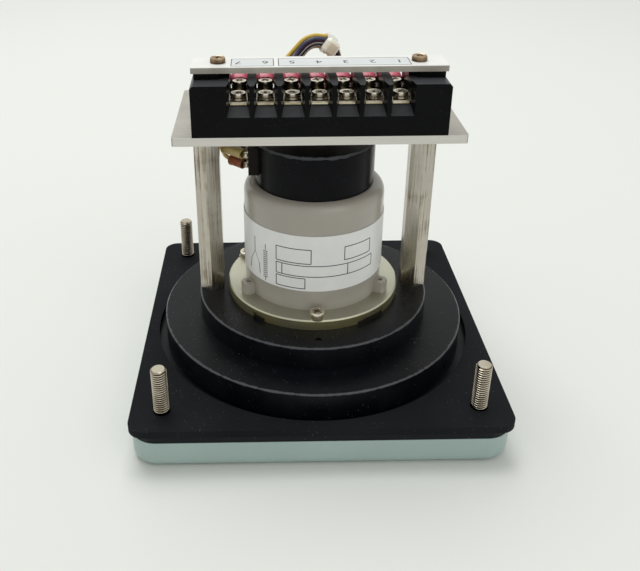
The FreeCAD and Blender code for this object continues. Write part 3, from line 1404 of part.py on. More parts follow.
def tube(points, radius):
    """Round tube on straight runs and tangent arcs, its volume set against section times length."""
    edges = []
    radii = []
    start = points[0]
    for before, corner, after in zip(points, points[1:], points[2:]):
        arc = corner_arc(before, corner, after)
        edges.append(Part.LineSegment(start, arc.valueAt(arc.FirstParameter)).toShape())
        edges.append(arc)
        radii.append(arc.Curve.Radius)
        start = arc.valueAt(arc.LastParameter)
    edges.append(Part.LineSegment(start, points[-1]).toShape())
    path = Part.Wire(edges)
    section = Part.Wire([Part.Circle(points[0], points[1] - points[0], radius).toShape()])
    solid = path.makePipeShell([section], True, False)
    share = solid.Volume / (math.pi * radius ** 2 * path.Length)
    print(f"length {path.Length:.1f}, least bend {min(radii):.1f}, volume share {share:.4f}")
    return solid


def plain_feature(name, shape):
    """Sub-part whose shape is worked out from the sizes."""
    feature = doc.addObject("Part::Feature", name)
    feature.Label = name
    feature.Shape = shape
    subparts.append(feature)


def lug_end(lug):
    """End of a lug, and the direction in which it points."""
    across, up = LUGS[lug]
    x, y = lug_tip(across)
    bend = math.radians(value("lug_bend"))
    return Vector(value(x), value(y), value(f"{LEVEL_CAP} + {up}")), Vector(-math.cos(bend), math.sin(bend), 0)


def into_pole(name, run):
    """Last two points of a lead: behind its sleeve, and at the back of its barrel."""
    x = value(f"{FIRST_POLE} + {POLE_ORDER.index(name)} * pole_pitch")
    end = Vector(x, value(f"{REAR_ROW_Y} + barrel_start + barrel_length"), value(BARREL_LEVEL))
    return [end + Vector(0, run, 0), end]


def make_leads():
    """Seven leads, each whole from its lug or the lamp board to its ring terminal."""
    radius = value("lead_radius")
    for name, lug, run, fan, last_run in SYNCHRO_LEADS:
        start, direction = lug_end(lug)
        fanned = [Vector(*point) for point in fan]
        route = [start, start + direction * run] + lane(name) + fanned + into_pole(name, last_run)
        plain_feature(name, tube(route, radius))
    for name, rise, fan, last_run in LAMP_LEADS:
        foot = Vector(*rise[0], value(f"{LEVEL_DRUM} - drum_roof"))
        risen = [Vector(*point) for point in rise[1:]]
        fanned = [Vector(*point) for point in fan]
        arched = lane(name)[len(BEHIND_CAP):]
        route = [foot] + risen + arched + fanned + into_pole(name, last_run)
        plain_feature(name, tube(route, radius))


def make_lug_sleeves():
    """Sleeve over each lug's end and the straight part of its lead."""
    sleeves = []
    lap = value("lug_sleeve_lap")
    for name, lug, run, fan, last_run in SYNCHRO_LEADS:
        tip, direction = lug_end(lug)
        start = tip - direction * lap
        length = lap + run / 2
        outer = Part.makeCylinder(value("lug_sleeve_radius"), length, start, direction)
        bore = Part.makeCylinder(value("lug_sleeve_bore"), length, start, direction)
        sleeves.append(outer.cut(bore))
    plain_feature("lug_sleeves", Part.makeCompound(sleeves))


def make_cable_tie():
    """Band round the bundle just before the arch's top, with its head on the front side."""
    top = max(range(len(TRUNK)), key=lambda place: TRUNK[place][2])
    corners = [Vector(*point) for point in TRUNK[top - 2:top + 1]]
    arc = corner_arc(*corners)
    bend = arc.Curve.Radius
    angle = value("tie_width") / bend
    middle = (arc.FirstParameter + arc.LastParameter) / 2
    start = arc.valueAt(middle - angle / 2)
    pivot = arc.Curve.Center
    axis = (start - pivot).cross(arc.tangentAt(middle - angle / 2))
    inner = value("lead_spacing + lead_radius + tie_gap")
    outer = value("lead_spacing + lead_radius + tie_gap + tie_thickness")
    turn = Rotation(start - pivot, Vector(0, 0, 0), axis, "XZY")
    tubes = []
    for radius in (outer, inner):
        sector = Part.makeTorus(bend, radius, Vector(0, 0, 0), Vector(0, 0, 1), 0, 360, math.degrees(angle))
        sector.Placement = FreeCAD.Placement(pivot, turn)
        tubes.append(sector)
    centre = arc.valueAt(middle)
    forward = arc.tangentAt(middle)
    outward = unit(centre - arc.Curve.Center)
    aside = forward.cross(outward)
    if aside.y > 0:
        aside = -aside
    size = [value("tie_head_length"), value("tie_head_width"), value("tie_head_height")]
    head = Part.makeBox(*size, Vector(-size[0] / 2, -size[1] / 2, 0))
    outer_edges = [edge for edge in head.Edges if edge.BoundBox.ZMax > size[2] / 2]
    head = head.makeChamfer(value("tie_head_edge"), outer_edges)
    turn = Rotation(forward, outward, aside, "ZXY")
    head.Placement = FreeCAD.Placement(centre + aside * (inner + outer) / 2, turn)
    plain_feature("cable_tie", tubes[0].fuse(head).cut(tubes[1]))


make_bezel()
make_window()
make_bezel_screws()
make_housing()
make_service_plugs()
make_gasket()
make_studs()
make_mount_flange()
make_flange_screws()
make_case()
make_ear_screws()
make_band()
make_cap()
make_lugs()
make_bearings()
make_stator()
make_rotor()
make_brushes()
make_posts()
make_plate()
make_block()
make_pole_hardware()
make_strip()
make_dial()
make_pointer()
make_lamps()
make_leads()
make_lug_sleeves()
make_cable_tie()
doc.recompute()

for thing in doc.Objects:
    if {"Invalid", "Error"} & set(thing.State):
        raise RuntimeError(f"{thing.Label} did not build")
for part in subparts:
    if part.Shape.isNull() or not part.Shape.isValid():
        raise RuntimeError(f"{part.Label} has no sound shape")
    part.Shape.exportStep(f"parts/{part.Label}.step")
    print(part.Label, len(part.Shape.Solids), round(part.Shape.Volume, 1))
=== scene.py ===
# %% [markdown]
# # Rudder angle indicator
#
# A ship's rudder angle indicator stands on its face, so its back is seen: a black stepped housing,
# the synchro that turns the pointer, and a terminal block on two hexagonal posts. The exact solids
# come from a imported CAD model. This script adds what CAD leaves out, which is finishes, threads, screw
# recesses, printing, and the light and camera of the picture.

import math

import bmesh
import bpy
import numpy as np
from mathutils import Matrix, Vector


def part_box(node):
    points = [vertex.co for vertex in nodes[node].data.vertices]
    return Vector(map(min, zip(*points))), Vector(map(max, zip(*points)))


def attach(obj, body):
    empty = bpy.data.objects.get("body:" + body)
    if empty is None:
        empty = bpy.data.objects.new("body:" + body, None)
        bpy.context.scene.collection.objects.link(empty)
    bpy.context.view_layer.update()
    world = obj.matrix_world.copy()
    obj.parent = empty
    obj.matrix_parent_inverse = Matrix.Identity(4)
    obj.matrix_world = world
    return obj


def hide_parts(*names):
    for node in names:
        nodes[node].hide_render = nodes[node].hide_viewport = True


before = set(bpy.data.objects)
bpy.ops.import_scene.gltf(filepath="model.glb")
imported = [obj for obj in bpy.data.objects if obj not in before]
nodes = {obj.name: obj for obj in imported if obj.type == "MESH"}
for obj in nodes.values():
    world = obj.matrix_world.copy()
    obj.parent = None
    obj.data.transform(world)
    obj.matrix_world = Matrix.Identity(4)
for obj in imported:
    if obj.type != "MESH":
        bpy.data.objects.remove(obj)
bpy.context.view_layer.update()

# %% [markdown]
# Blender works in metres, and this instrument is read in millimetres, so sizes are written as
# millimetres times `mm`. A colour is written as a screen shows it, from 0 to 255, and `shade` turns it
# into the linear values that Blender's sockets take.

# %% Units and colours
mm = 0.001


def shade(red, green, blue):
    """Linear colour of a screen colour: each channel over 255, raised to about the power 2.4."""
    channels = np.array((red, green, blue)) / 255
    linear = np.where(channels <= 0.04045, channels / 12.92, ((channels + 0.055) / 1.055) ** 2.4)
    return (*linear.tolist(), 1.0)


print("mid grey", shade(128, 128, 128))

# %% [markdown]
# The camera stands in front of the terminal block, a little left, and looks down. The picture is a crop
# of a larger one, so its optical centre isn't its middle. Blender takes that as a shift, counted in
# picture widths.

# %% Camera
def new_object(name, data):
    """Object in the scene for a camera, a mesh, a text curve or a lamp."""
    made = bpy.data.objects.new(name, data)
    bpy.context.scene.collection.objects.link(made)
    return made


image_width = 640
image_height = 571
focal_pixels = 781.8
optical_centre = (273.1, 220.0)
camera_place = np.array((-19.9, -291.4, 215.3)) * mm
camera_turn = math.radians(0.61)
camera_tilt = math.radians(26.89)
camera_roll = math.radians(-0.44)

camera_data = bpy.data.cameras.new("camera")
camera_data.sensor_width = 36
camera_data.lens = focal_pixels / image_width * camera_data.sensor_width
camera_data.shift_x = (image_width / 2 - optical_centre[0]) / image_width
camera_data.shift_y = (optical_centre[1] - image_height / 2) / image_width
camera_data.clip_start = 0.01
camera = new_object("camera", camera_data)
camera.matrix_world = (
    Matrix.Translation(camera_place)
    @ Matrix.Rotation(-camera_turn, 4, "Z")
    @ Matrix.Rotation(math.pi / 2 - camera_tilt, 4, "X")
    @ Matrix.Rotation(camera_roll, 4, "Z")
)
bpy.context.scene.camera = camera
bpy.context.scene.view_settings.view_transform = "Standard"
print(f"lens {camera_data.lens:.1f} mm, shift {camera_data.shift_x:.3f}, {camera_data.shift_y:.3f}")

# %% [markdown]
# Every material below is a tree of nodes. One short helper adds a node, sets its choices, and fills its
# inputs with numbers or with links, so that a tree reads as a list of what it is made of. The others
# build on it, one for each kind of sum that the finishes need.

# %% Node helpers
def add_node(tree, kind, inputs=(), **choices):
    """New node of a kind; each input is a plain value or the output socket that feeds it."""
    node = tree.nodes.new(kind)
    for name, choice in choices.items():
        setattr(node, name, choice)
    for name, content in dict(inputs).items():
        if isinstance(content, bpy.types.NodeSocket):
            tree.links.new(content, node.inputs[name])
        else:
            node.inputs[name].default_value = content
    return node


def calculate(tree, operation, *terms):
    """Output of a Math node over up to three terms."""
    return add_node(tree, "ShaderNodeMath", dict(enumerate(terms)), operation=operation).outputs[0]


def times(tree, first, second):
    """Output of the product of two terms."""
    return calculate(tree, "MULTIPLY", first, second)


def between(tree, value, low, high, start=0.0, end=1.0):
    """Output that goes smoothly from start to end while the value goes from low to high."""
    limits = {"Value": value, "From Min": low, "From Max": high, "To Min": start, "To Max": end}
    return add_node(tree, "ShaderNodeMapRange", limits, interpolation_type="SMOOTHSTEP").outputs["Result"]


def mixed(tree, share, first, second):
    """Colour that goes from the first to the second, outputs or screen colours, with the share."""
    first, second = [shade(*end) if isinstance(end, tuple) else end for end in (first, second)]
    return add_node(tree, "ShaderNodeMix", {0: share, 6: first, 7: second}, data_type="RGBA").outputs[2]


def object_place(tree):
    """Output that gives the place of a point in the model's own frame, in metres."""
    return add_node(tree, "ShaderNodeTexCoord").outputs["Object"]


def axes(tree, vector):
    """The three outputs of a vector, named X, Y and Z."""
    return add_node(tree, "ShaderNodeSeparateXYZ", {"Vector": vector}).outputs


def scaled(tree, parts, factors):
    """Vector of parts, each times its own factor."""
    terms = {axis: times(tree, *pair) for axis, pair in zip("XYZ", zip(parts, factors))}
    return add_node(tree, "ShaderNodeCombineXYZ", terms).outputs[0]


def distance(tree, x, y):
    """Distance in the flat: the square root of x squared plus y squared."""
    return calculate(tree, "SQRT", calculate(tree, "MULTIPLY_ADD", x, x, times(tree, y, y)))


def noise(tree, place, scale, detail=3.0):
    """Output of a cloudy noise whose grain is about one over the scale."""
    inputs = {"Vector": place, "Scale": scale, "Detail": detail}
    return add_node(tree, "ShaderNodeTexNoise", inputs).outputs["Fac"]


def new_material(name, **constants):
    """Material with one Principled shader whose plain values are set on its own sockets."""
    material = bpy.data.materials.new(name)
    material.use_nodes = True
    shader = material.node_tree.nodes["Principled BSDF"]
    for key, content in constants.items():
        shader.inputs[key.replace("_", " ")].default_value = content
    return material, material.node_tree, shader


def feed(shader, name, output):
    """Links an output to a named input of a shader."""
    shader.id_data.links.new(output, shader.inputs[name])


print("helpers ready")

# %% [markdown]
# Real finishes are never even. Five effects come back in many materials here: clouds of slightly other
# tone, dust, the grain of brushing, the rings of a lathe, and a painted highlight along a turned step's
# edge. Each is a node group with named inputs, built once, that gives out only a value between 0 and 1.

# %% Groups for clouds and dust
def new_group(name, inputs, output):
    """Node group with number inputs and one number output; returns it with its two end nodes."""
    group = bpy.data.node_groups.new(name, "ShaderNodeTree")
    for label, default in inputs.items():
        socket = group.interface.new_socket(label, in_out="INPUT", socket_type="NodeSocketFloat")
        socket.default_value = default
    group.interface.new_socket(output, in_out="OUTPUT", socket_type="NodeSocketFloat")
    return group, group.nodes.new("NodeGroupInput").outputs, group.nodes.new("NodeGroupOutput").inputs


def use_group(tree, group, **values):
    """Output of a group placed in a tree with its own values."""
    inputs = {label.replace("_", " "): content for label, content in values.items()}
    return add_node(tree, "ShaderNodeGroup", inputs, node_tree=group).outputs[0]


def cloudy(tree, grains, contrast):
    """Tone of the clouds group for a number of grains per metre and a contrast."""
    return use_group(tree, clouds, Grains_per_metre=grains, Contrast=contrast)


def dusty(tree, count, amount):
    """Mask of the dust group for a number of specks per metre and an amount."""
    return use_group(tree, dust, Specks_per_metre=count, Amount=amount)


clouds, given, out = new_group("clouds", {"Grains per metre": 60.0, "Contrast": 1.0}, "Tone")
tone = noise(clouds, object_place(clouds), given["Grains per metre"], 4.0)
centred = calculate(clouds, "SUBTRACT", tone, 0.5)
stretched = calculate(clouds, "MULTIPLY_ADD", centred, given["Contrast"], 0.5)
clouds.links.new(calculate(clouds, "MAXIMUM", stretched, 0.0), out["Tone"])

dust, given, out = new_group("dust", {"Specks per metre": 700.0, "Amount": 0.3}, "Mask")
place = object_place(dust)
specks = add_node(dust, "ShaderNodeTexVoronoi", {"Vector": place, "Scale": given["Specks per metre"]})
size = times(dust, noise(dust, place, 90.0, 2.0), given["Amount"])
smaller = times(dust, size, 0.5)
dust.links.new(between(dust, specks.outputs["Distance"], smaller, size, 1.0, 0.0), out["Mask"])
print("groups:", clouds.name, dust.name)

# %% [markdown]
# Brushing and turning both leave fine parallel scratches. A noise that is squeezed much more across the
# scratches than along them draws straight ones. For a lathe the same noise is read at the radius and the
# height of a point in place of its X and Y, so the scratches close into rings.

# %% Groups for brushed and turned metal, and for painted edge highlights
def radius_and_height(tree):
    """Distance of a point from the instrument's axis, and its height."""
    parts = axes(tree, object_place(tree))
    return distance(tree, parts["X"], parts["Y"]), parts["Z"]


brushing, given, out = new_group("brushing", {"Across": 3000.0, "Along": 40.0}, "Streak")
squeezes = (given["Along"], given["Across"], given["Across"])
squeezed = scaled(brushing, axes(brushing, object_place(brushing)), squeezes)
brushing.links.new(noise(brushing, squeezed, 1.0, 2.0), out["Streak"])

turning, given, out = new_group("turning", {"Rings per metre": 2500.0}, "Streak")
ringed = scaled(turning, radius_and_height(turning), (given["Rings per metre"], given["Rings per metre"]))
turning.links.new(noise(turning, ringed, 1.0, 2.0), out["Streak"])

# The third group paints a highlight: a thin bright ring at a radius and a level, where a turned edge
# catches the light.
painted_edge_highlight, given, out = new_group("painted_edge_highlight", {"Radius": 0.05, "Level": 0.03, "Width": 0.001}, "Mask")
offsets = [
    calculate(painted_edge_highlight, "ABSOLUTE", calculate(painted_edge_highlight, "SUBTRACT", measure, given[label]))
    for measure, label in zip(radius_and_height(painted_edge_highlight), ("Radius", "Level"))
]
far = calculate(painted_edge_highlight, "MAXIMUM", *offsets)
reach = times(painted_edge_highlight, given["Width"], noise(painted_edge_highlight, object_place(painted_edge_highlight), 400.0))
half_reach = times(painted_edge_highlight, reach, 0.5)
painted_edge_highlight.links.new(between(painted_edge_highlight, far, half_reach, reach, 1.0, 0.0), out["Mask"])
print("groups:", brushing.name, turning.name, painted_edge_highlight.name)

# %% [markdown]
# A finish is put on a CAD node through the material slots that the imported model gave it. The mesh itself
# stays as it is, so the looks can't change a size.

# %% Dressing a CAD node
def dress(material, *names):
    """Puts a material on CAD nodes."""
    for name in names:
        for slot in nodes[name].material_slots:
            slot.material = material
    print(material.name, "on", ", ".join(names) or "new pieces")


def bump(tree, shader, height, depth):
    """Tiny relief: the height output, times a depth in metres, tilts the surface's normal."""
    node = add_node(tree, "ShaderNodeBump", {"Height": height, "Distance": depth, "Strength": 1.0})
    feed(shader, "Normal", node.outputs["Normal"])


slots = sum(len(node.material_slots) for node in nodes.values())
print(slots, "material slots on", len(nodes), "CAD nodes")

# %% [markdown]
# The front frame is sprayed in a pale sea green, and the synchro's case wears a warm grey stove enamel
# with a deep gloss. Spray paint dries with a faint orange peel, so its bump is a fine noise a few
# hundredths of a millimetre deep, and its colour drifts a little. A gloss over a colour is the coat of
# the Principled shader. The gasket is made the same way: almost matte, with pale smears and dust.

# %% Paints and rubber
def even_finish(name, dark, light, speck, cloud, grit, ripple, *names, **constants):
    """Even finish: its tone has clouds (grains, contrast) and grit (specks, amount), its face ripples."""
    material, tree, shader = new_material(name, **constants)
    colour = mixed(tree, cloudy(tree, *cloud), dark, light)
    feed(shader, "Base Color", mixed(tree, dusty(tree, *grit), colour, speck))
    bump(tree, shader, noise(tree, object_place(tree), ripple[0]), ripple[1] * mm)
    dress(material, *names)


even_finish("sea_green_paint", (157, 178, 173), (168, 189, 184), (196, 200, 194),
            (45.0, 1.2), (500.0, 0.16), (1500.0, 0.02), "bezel", Roughness=0.38)
even_finish("grey_paint", (158, 153, 143), (168, 163, 152), (96, 90, 84),
            (80.0, 1.2), (700.0, 0.14), (700.0, 0.02), "synchro_case",
            Roughness=0.34, Coat_Weight=0.5, Coat_Roughness=0.12)
even_finish("black_rubber", (24, 25, 27), (33, 34, 37), (90, 92, 94),
            (22.0, 2.6), (600.0, 0.2), (2600.0, 0.03), "panel_gasket", "window_seal", "lamp_grommet",
            Roughness=0.72, Specular_IOR_Level=0.06)

# %% [markdown]
# The housing is a black casting, turned to steps and painted. Its steps' corners get painted highlights,
# so two thin bright rings sit at the radius and level of those corners. Its top comes from the box
# of the CAD node.

# %% Black casting
step_radius = 48.5 * mm
drum_radius = 63.9 * mm
step_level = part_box("housing")[1].z
drum_level = step_level - 9.6 * mm
highlight_width = 1.6 * mm
material, tree, shader = new_material("black_casting", Specular_IOR_Level=0.16)
tone = cloudy(tree, 70.0, 1.5)
specks = dusty(tree, 650.0, 0.21)
step_highlights = [
    use_group(tree, painted_edge_highlight, Radius=radius, Level=level, Width=highlight_width)
    for radius, level in ((step_radius, step_level), (drum_radius, drum_level))
]
# Painted highlight: both step corners are mixed towards a pale grey.
wear_and_highlight = times(tree, calculate(tree, "MAXIMUM", *step_highlights), 0.7)
colour = mixed(tree, tone, (8, 9, 13), (15, 17, 22))
colour = mixed(tree, wear_and_highlight, colour, (96, 96, 100))
colour = mixed(tree, specks, colour, (104, 106, 110))
feed(shader, "Base Color", colour)
feed(shader, "Roughness", between(tree, tone, 0.2, 0.8, 0.26, 0.42))
bump(tree, shader, noise(tree, object_place(tree), 900.0), 0.03 * mm)
dress(material, "housing", "service_plugs")

# %% [markdown]
# Nickel plate on screws, studs and posts is a warm grey mirror that years have dulled. Metals need little
# colour work: the base colour is the tint of the reflection, and roughness drifts with clouds.

# %% Nickel and steel
def metal(name, tint, dark_tint, low, high, *names):
    """Metal whose tint and roughness both follow clouds."""
    material, tree, shader = new_material(name, Metallic=1.0)
    tone = cloudy(tree, 260.0, 1.8)
    feed(shader, "Base Color", mixed(tree, tone, dark_tint, tint))
    feed(shader, "Roughness", between(tree, tone, 0.1, 0.9, high, low))
    dress(material, *names)


metal("nickel_screws", (214, 206, 190), (160, 144, 118), 0.16, 0.32,
      "bezel_screws", "ear_screws", "post_screws", "block_screws", "dial_screws", "mounting_studs",
      "flange_screws", "pole_screws", "strip_screws", "dial_pillars")
metal("tinned_brass", (222, 214, 192), (176, 158, 120), 0.2, 0.4,
      "solder_lugs", "ring_terminals", "link_bars", "clamp_washers", "pointer_nut", "slip_rings")
metal("bearing_steel", (190, 190, 188), (150, 150, 148), 0.12, 0.25,
      "front_bearing", "rear_bearing", "rotor_shaft", "stator_core", "rotor_core")
metal("spacer_aluminium", (190, 192, 190), (150, 152, 150), 0.4, 0.6, "spacer_ring")

# %% [markdown]
# The posts are drawn hexagonal bar, so their grain runs up and down. The brushing group runs along X, so a
# Mapping node could turn it, but here the noise is simply squeezed along Z.

# %% Posts
material, tree, shader = new_material("nickel_post", Metallic=1.0)
drawn = scaled(tree, axes(tree, object_place(tree)), (1400.0, 1400.0, 24.0))
grain = noise(tree, drawn, 1.0, 2.0)
tone = cloudy(tree, 90.0, 1.5)
colour = mixed(tree, tone, (168, 162, 150), (204, 199, 189))
dirt = calculate(tree, "MULTIPLY_ADD", grain, 0.6, times(tree, tone, 0.6))
grime = between(tree, dirt, 0.57, 0.85)
feed(shader, "Base Color", mixed(tree, grime, colour, (128, 116, 96)))
feed(shader, "Roughness", between(tree, grain, 0.3, 0.7, 0.2, 0.36))
bump(tree, shader, grain, 0.006 * mm)
dress(material, "left_post", "right_post")

# %% [markdown]
# The terminal plate is brushed aluminium, dulled by handling, with the grain along its length. Its front
# edge gets a painted highlight: a band a tenth of a millimetre deep is made paler, with the grain's
# streaks.

# %% Brushed plate
plate_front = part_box("terminal_plate")[0].y
material, tree, shader = new_material("brushed_plate", Metallic=1.0)
grain = use_group(tree, brushing, Across=2600.0, Along=30.0)
tone = cloudy(tree, 60.0, 2.0)
depth = axes(tree, object_place(tree))["Y"]
# Painted highlight: the front edge band is mixed to a paler, streaked colour.
front_edge_highlight = between(tree, depth, plate_front + 0.15 * mm, plate_front + 0.05 * mm)
colour = mixed(tree, tone, (160, 156, 149), (184, 180, 173))
highlight_streaks = mixed(tree, grain, (196, 192, 186), (226, 223, 217))
feed(shader, "Base Color", mixed(tree, front_edge_highlight, colour, highlight_streaks))
feed(shader, "Roughness", between(tree, grain, 0.3, 0.7, 0.34, 0.52))
bump(tree, shader, grain, 0.01 * mm)
dress(material, "terminal_plate")

# %% [markdown]
# The synchro's mounting ring is turned aluminium. Its top is clear, and its rim has the yellow of a
# chromate bath, so the colour changes with the height of a point.

# %% Turned ring
ring_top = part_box("synchro_case")[0].z
material, tree, shader = new_material("turned_aluminium", Metallic=1.0)
rings = use_group(tree, turning, Rings_per_metre=2400.0)
height = radius_and_height(tree)[1]
top = between(tree, height, ring_top - 0.6 * mm, ring_top - 0.2 * mm)
olive_patches = cloudy(tree, 70.0, 2.5)
rim = mixed(tree, olive_patches, (168, 166, 144), (190, 178, 124))
feed(shader, "Base Color", mixed(tree, top, rim, (186, 185, 169)))
feed(shader, "Roughness", between(tree, rings, 0.3, 0.7, 0.34, 0.5))
bump(tree, shader, rings, 0.008 * mm)
dress(material, "mount_flange")

# %% [markdown]
# The cap, the terminal block and the boards are black mouldings. A painted sheen for the sky's reflection
# lightens faces that look up, read from the Z of the surface's normal. The cap's edge gets a painted
# highlight.

# %% Black plastics
def black_plastic(name, dark, light, low, high, *names, painted_sky_sheen=0.0, edge=None):
    """Black moulding: drifting gloss, dust, a painted sheen on faces that look up, and a painted highlight
    at an edge (radius, level).
    """
    material, tree, shader = new_material(name, Specular_IOR_Level=0.07)
    tone = cloudy(tree, 120.0, 1.6)
    specks = dusty(tree, 800.0, 0.16)
    colour = mixed(tree, specks, mixed(tree, tone, dark, light), (88, 88, 90))
    # Painted highlight: a thin pale ring at the given edge.
    if edge:
        wear_and_highlight = use_group(tree, painted_edge_highlight, Radius=edge[0], Level=edge[1], Width=1.1 * mm)
        colour = mixed(tree, times(tree, wear_and_highlight, 0.7), colour, (104, 106, 110))
    # Painted sheen: faces that look up are lightened, standing in for the sky's reflection.
    if painted_sky_sheen:
        up = axes(tree, add_node(tree, "ShaderNodeNewGeometry").outputs["Normal"])["Z"]
        top_sheen = times(tree, between(tree, up, 0.6, 0.95), painted_sky_sheen)
        colour = mixed(tree, top_sheen, colour, (92, 94, 96))
    feed(shader, "Base Color", colour)
    feed(shader, "Roughness", between(tree, tone, 0.2, 0.8, low, high))
    dress(material, *names)


cap_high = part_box("synchro_end_cap")[1]
half_chamfer = 0.5 * mm
cap_highlight_ring = (cap_high.x - half_chamfer, cap_high.z - half_chamfer)
black_plastic("cap_plastic", (11, 11, 14), (18, 18, 22), 0.16, 0.26,
              "synchro_end_cap", "slip_ring_hub", "pointer_hub", "brush_block", edge=cap_highlight_ring)
black_plastic("block_plastic", (9, 9, 11), (16, 16, 18), 0.2, 0.3, "terminal_block", painted_sky_sheen=0.45)
black_plastic("phenolic", (28, 24, 22), (38, 33, 30), 0.5, 0.6,
              "terminal_board", "lamp_board", "lamp_holders", "brushes")

# %% [markdown]
# The leads are PVC: a bright colour, half matt. The sleeves, the clear tie and the inks have the same
# recipe in other tones. One lead has thin white tracers, which come further down.

# %% Leads, sleeves and other soft plastics
def soft_plastic(name, colour, light, roughness, *names, clear=0.0):
    """Plastic that drifts in tone along its length; in clear nylon the light spreads inside."""
    material, tree, shader = new_material(
        name, Roughness=roughness, Subsurface_Weight=clear, Subsurface_Scale=3 * mm,
        Subsurface_Radius=(1.0, 0.9, 0.7),
    )
    tone = cloudy(tree, 140.0, 1.5)
    feed(shader, "Base Color", mixed(tree, tone, colour, light))
    dress(material, *names)
    return material


soft_plastic("yellow_lead", (196, 164, 52), (220, 190, 84), 0.4, "yellow_lead")
soft_plastic("navy_lead", (34, 34, 62), (58, 58, 88), 0.35, "navy_lead")
soft_plastic("red_lead", (206, 84, 82), (226, 112, 106), 0.4, "red_lead")
soft_plastic("black_lead", (18, 18, 20), (30, 30, 32), 0.35, "black_lead")
soft_plastic("beige_lead", (178, 160, 118), (200, 184, 146), 0.4, "beige_lead")
soft_plastic("white_lead", (224, 220, 208), (238, 235, 226), 0.4, "left_lamp_lead", "right_lamp_lead")
soft_plastic("red_sleeve", (196, 44, 70), (216, 76, 98), 0.3, "terminal_sleeves")
soft_plastic("clear_nylon", (240, 234, 208), (250, 247, 232), 0.3, "cable_tie", clear=0.8)
soft_plastic("varnished_sleeve", (168, 128, 66), (196, 160, 92), 0.3, "lug_sleeves")
soft_plastic("enamelled_wire", (120, 52, 30), (150, 74, 42), 0.25, "stator_windings", "rotor_winding")
soft_plastic("white_band", (230, 231, 228), (240, 241, 238), 0.35, "nameplate_band")
soft_plastic("dial_paint", (20, 20, 20), (26, 26, 26), 0.7, "dial_plate")
soft_plastic("pointer_paint", (226, 220, 200), (234, 229, 212), 0.6, "pointer")

# %% [markdown]
# The window is plain glass, and the bulbs are frosted. Glass keeps its transmission as one plain number.

# %% Glass
for name, tint, roughness, node in (
    ("window_glass", (244, 248, 246), 0.02, "window_glass"),
    ("lamp_glass", (250, 238, 214), 0.3, "lamp_bulbs"),
):
    glass = new_material(
        name, Roughness=roughness, Transmission_Weight=1.0, IOR=1.5, Base_Color=shade(*tint)
    )[0]
    dress(glass, node)

# %% [markdown]
# New pieces are worked out as grids of points, with rows along a profile and columns round it or across
# it. Points numbered row by row make the faces plain arithmetic. A pole, where a row shrinks to one point,
# and a seam, where the last column lies on the first, are closed by merging equal points at the end.

# %% Grid surfaces
merge_distance = 0.0005 * mm
crease = math.radians(32)


def grid_faces(rows, columns):
    """Quads of a grid numbered row by row: a point, its right, upper right and upper neighbours."""
    row, column = np.meshgrid(np.arange(rows - 1), np.arange(columns - 1), indexing="ij")
    first = row * columns + column
    return np.stack((first, first + 1, first + columns + 1, first + columns), axis=-1).reshape(-1, 4)


def place_piece(name, mesh, material, replaced=()):
    """Object for a mesh with its material: it rides the instrument, and may replace CAD nodes."""
    mesh.materials.append(material)
    piece = new_object(name, mesh)
    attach(piece, "indicator")
    if replaced:
        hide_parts(*replaced)
    print(name, "has", len(mesh.polygons), "faces")


def add_piece(name, grids, material, replaced=(), marks=None):
    """Mesh piece from grids of shape (rows, columns, 3) in metres; marks hold a wear value per point."""
    starts = np.cumsum([0] + [grid.shape[0] * grid.shape[1] for grid in grids])
    points = np.concatenate([grid.reshape(-1, 3) for grid in grids])
    corners = np.concatenate([grid_faces(*grid.shape[:2]) + start for grid, start in zip(grids, starts)])
    mesh = bpy.data.meshes.new(name)
    mesh.vertices.add(len(points))
    mesh.vertices.foreach_set("co", points.ravel())
    mesh.loops.add(corners.size)
    mesh.loops.foreach_set("vertex_index", corners.ravel())
    mesh.polygons.add(len(corners))
    mesh.polygons.foreach_set("loop_start", np.arange(len(corners)) * 4)
    mesh.update()
    if marks:
        wear = mesh.attributes.new("wear", "FLOAT", "POINT")
        wear.data.foreach_set("value", np.concatenate([mark.ravel() for mark in marks]))
    solid = bmesh.new()
    solid.from_mesh(mesh)
    bmesh.ops.remove_doubles(solid, verts=solid.verts, dist=merge_distance)
    bmesh.ops.recalc_face_normals(solid, faces=solid.faces)
    solid.to_mesh(mesh)
    solid.free()
    mesh.polygons.foreach_set("use_smooth", np.ones(len(mesh.polygons), dtype=bool))
    mesh.set_sharp_from_angle(angle=crease)
    place_piece(name, mesh, material, replaced)


def turned_about(points, angle, place):
    """Points turned by an angle about the upright axis, then moved: x cos - y sin, x sin + y cos."""
    x, y, z = np.moveaxis(points, -1, 0)
    across = x * np.cos(angle) - y * np.sin(angle)
    ahead = x * np.sin(angle) + y * np.cos(angle)
    return np.stack((across, ahead, z), axis=-1) + np.array(place)


def closed_ends(rings):
    """Rings of points with each end drawn together to one point, the mean of its ring."""
    ends = [rings[end, :-1].mean(axis=0) + 0 * rings[end] for end in (0, -1)]
    return np.concatenate((ends[0][None], rings, ends[1][None]))


print("surface helpers ready")

# %% [markdown]
# The four studs are threaded rod. A thread is a radius that rises and falls with the height, once for each
# pitch, and slips down by one pitch on the way round. If the rows of the grid climb along that helix, each
# row stays on a crest or in a root, so four rows for each turn are enough for sharp flanks.

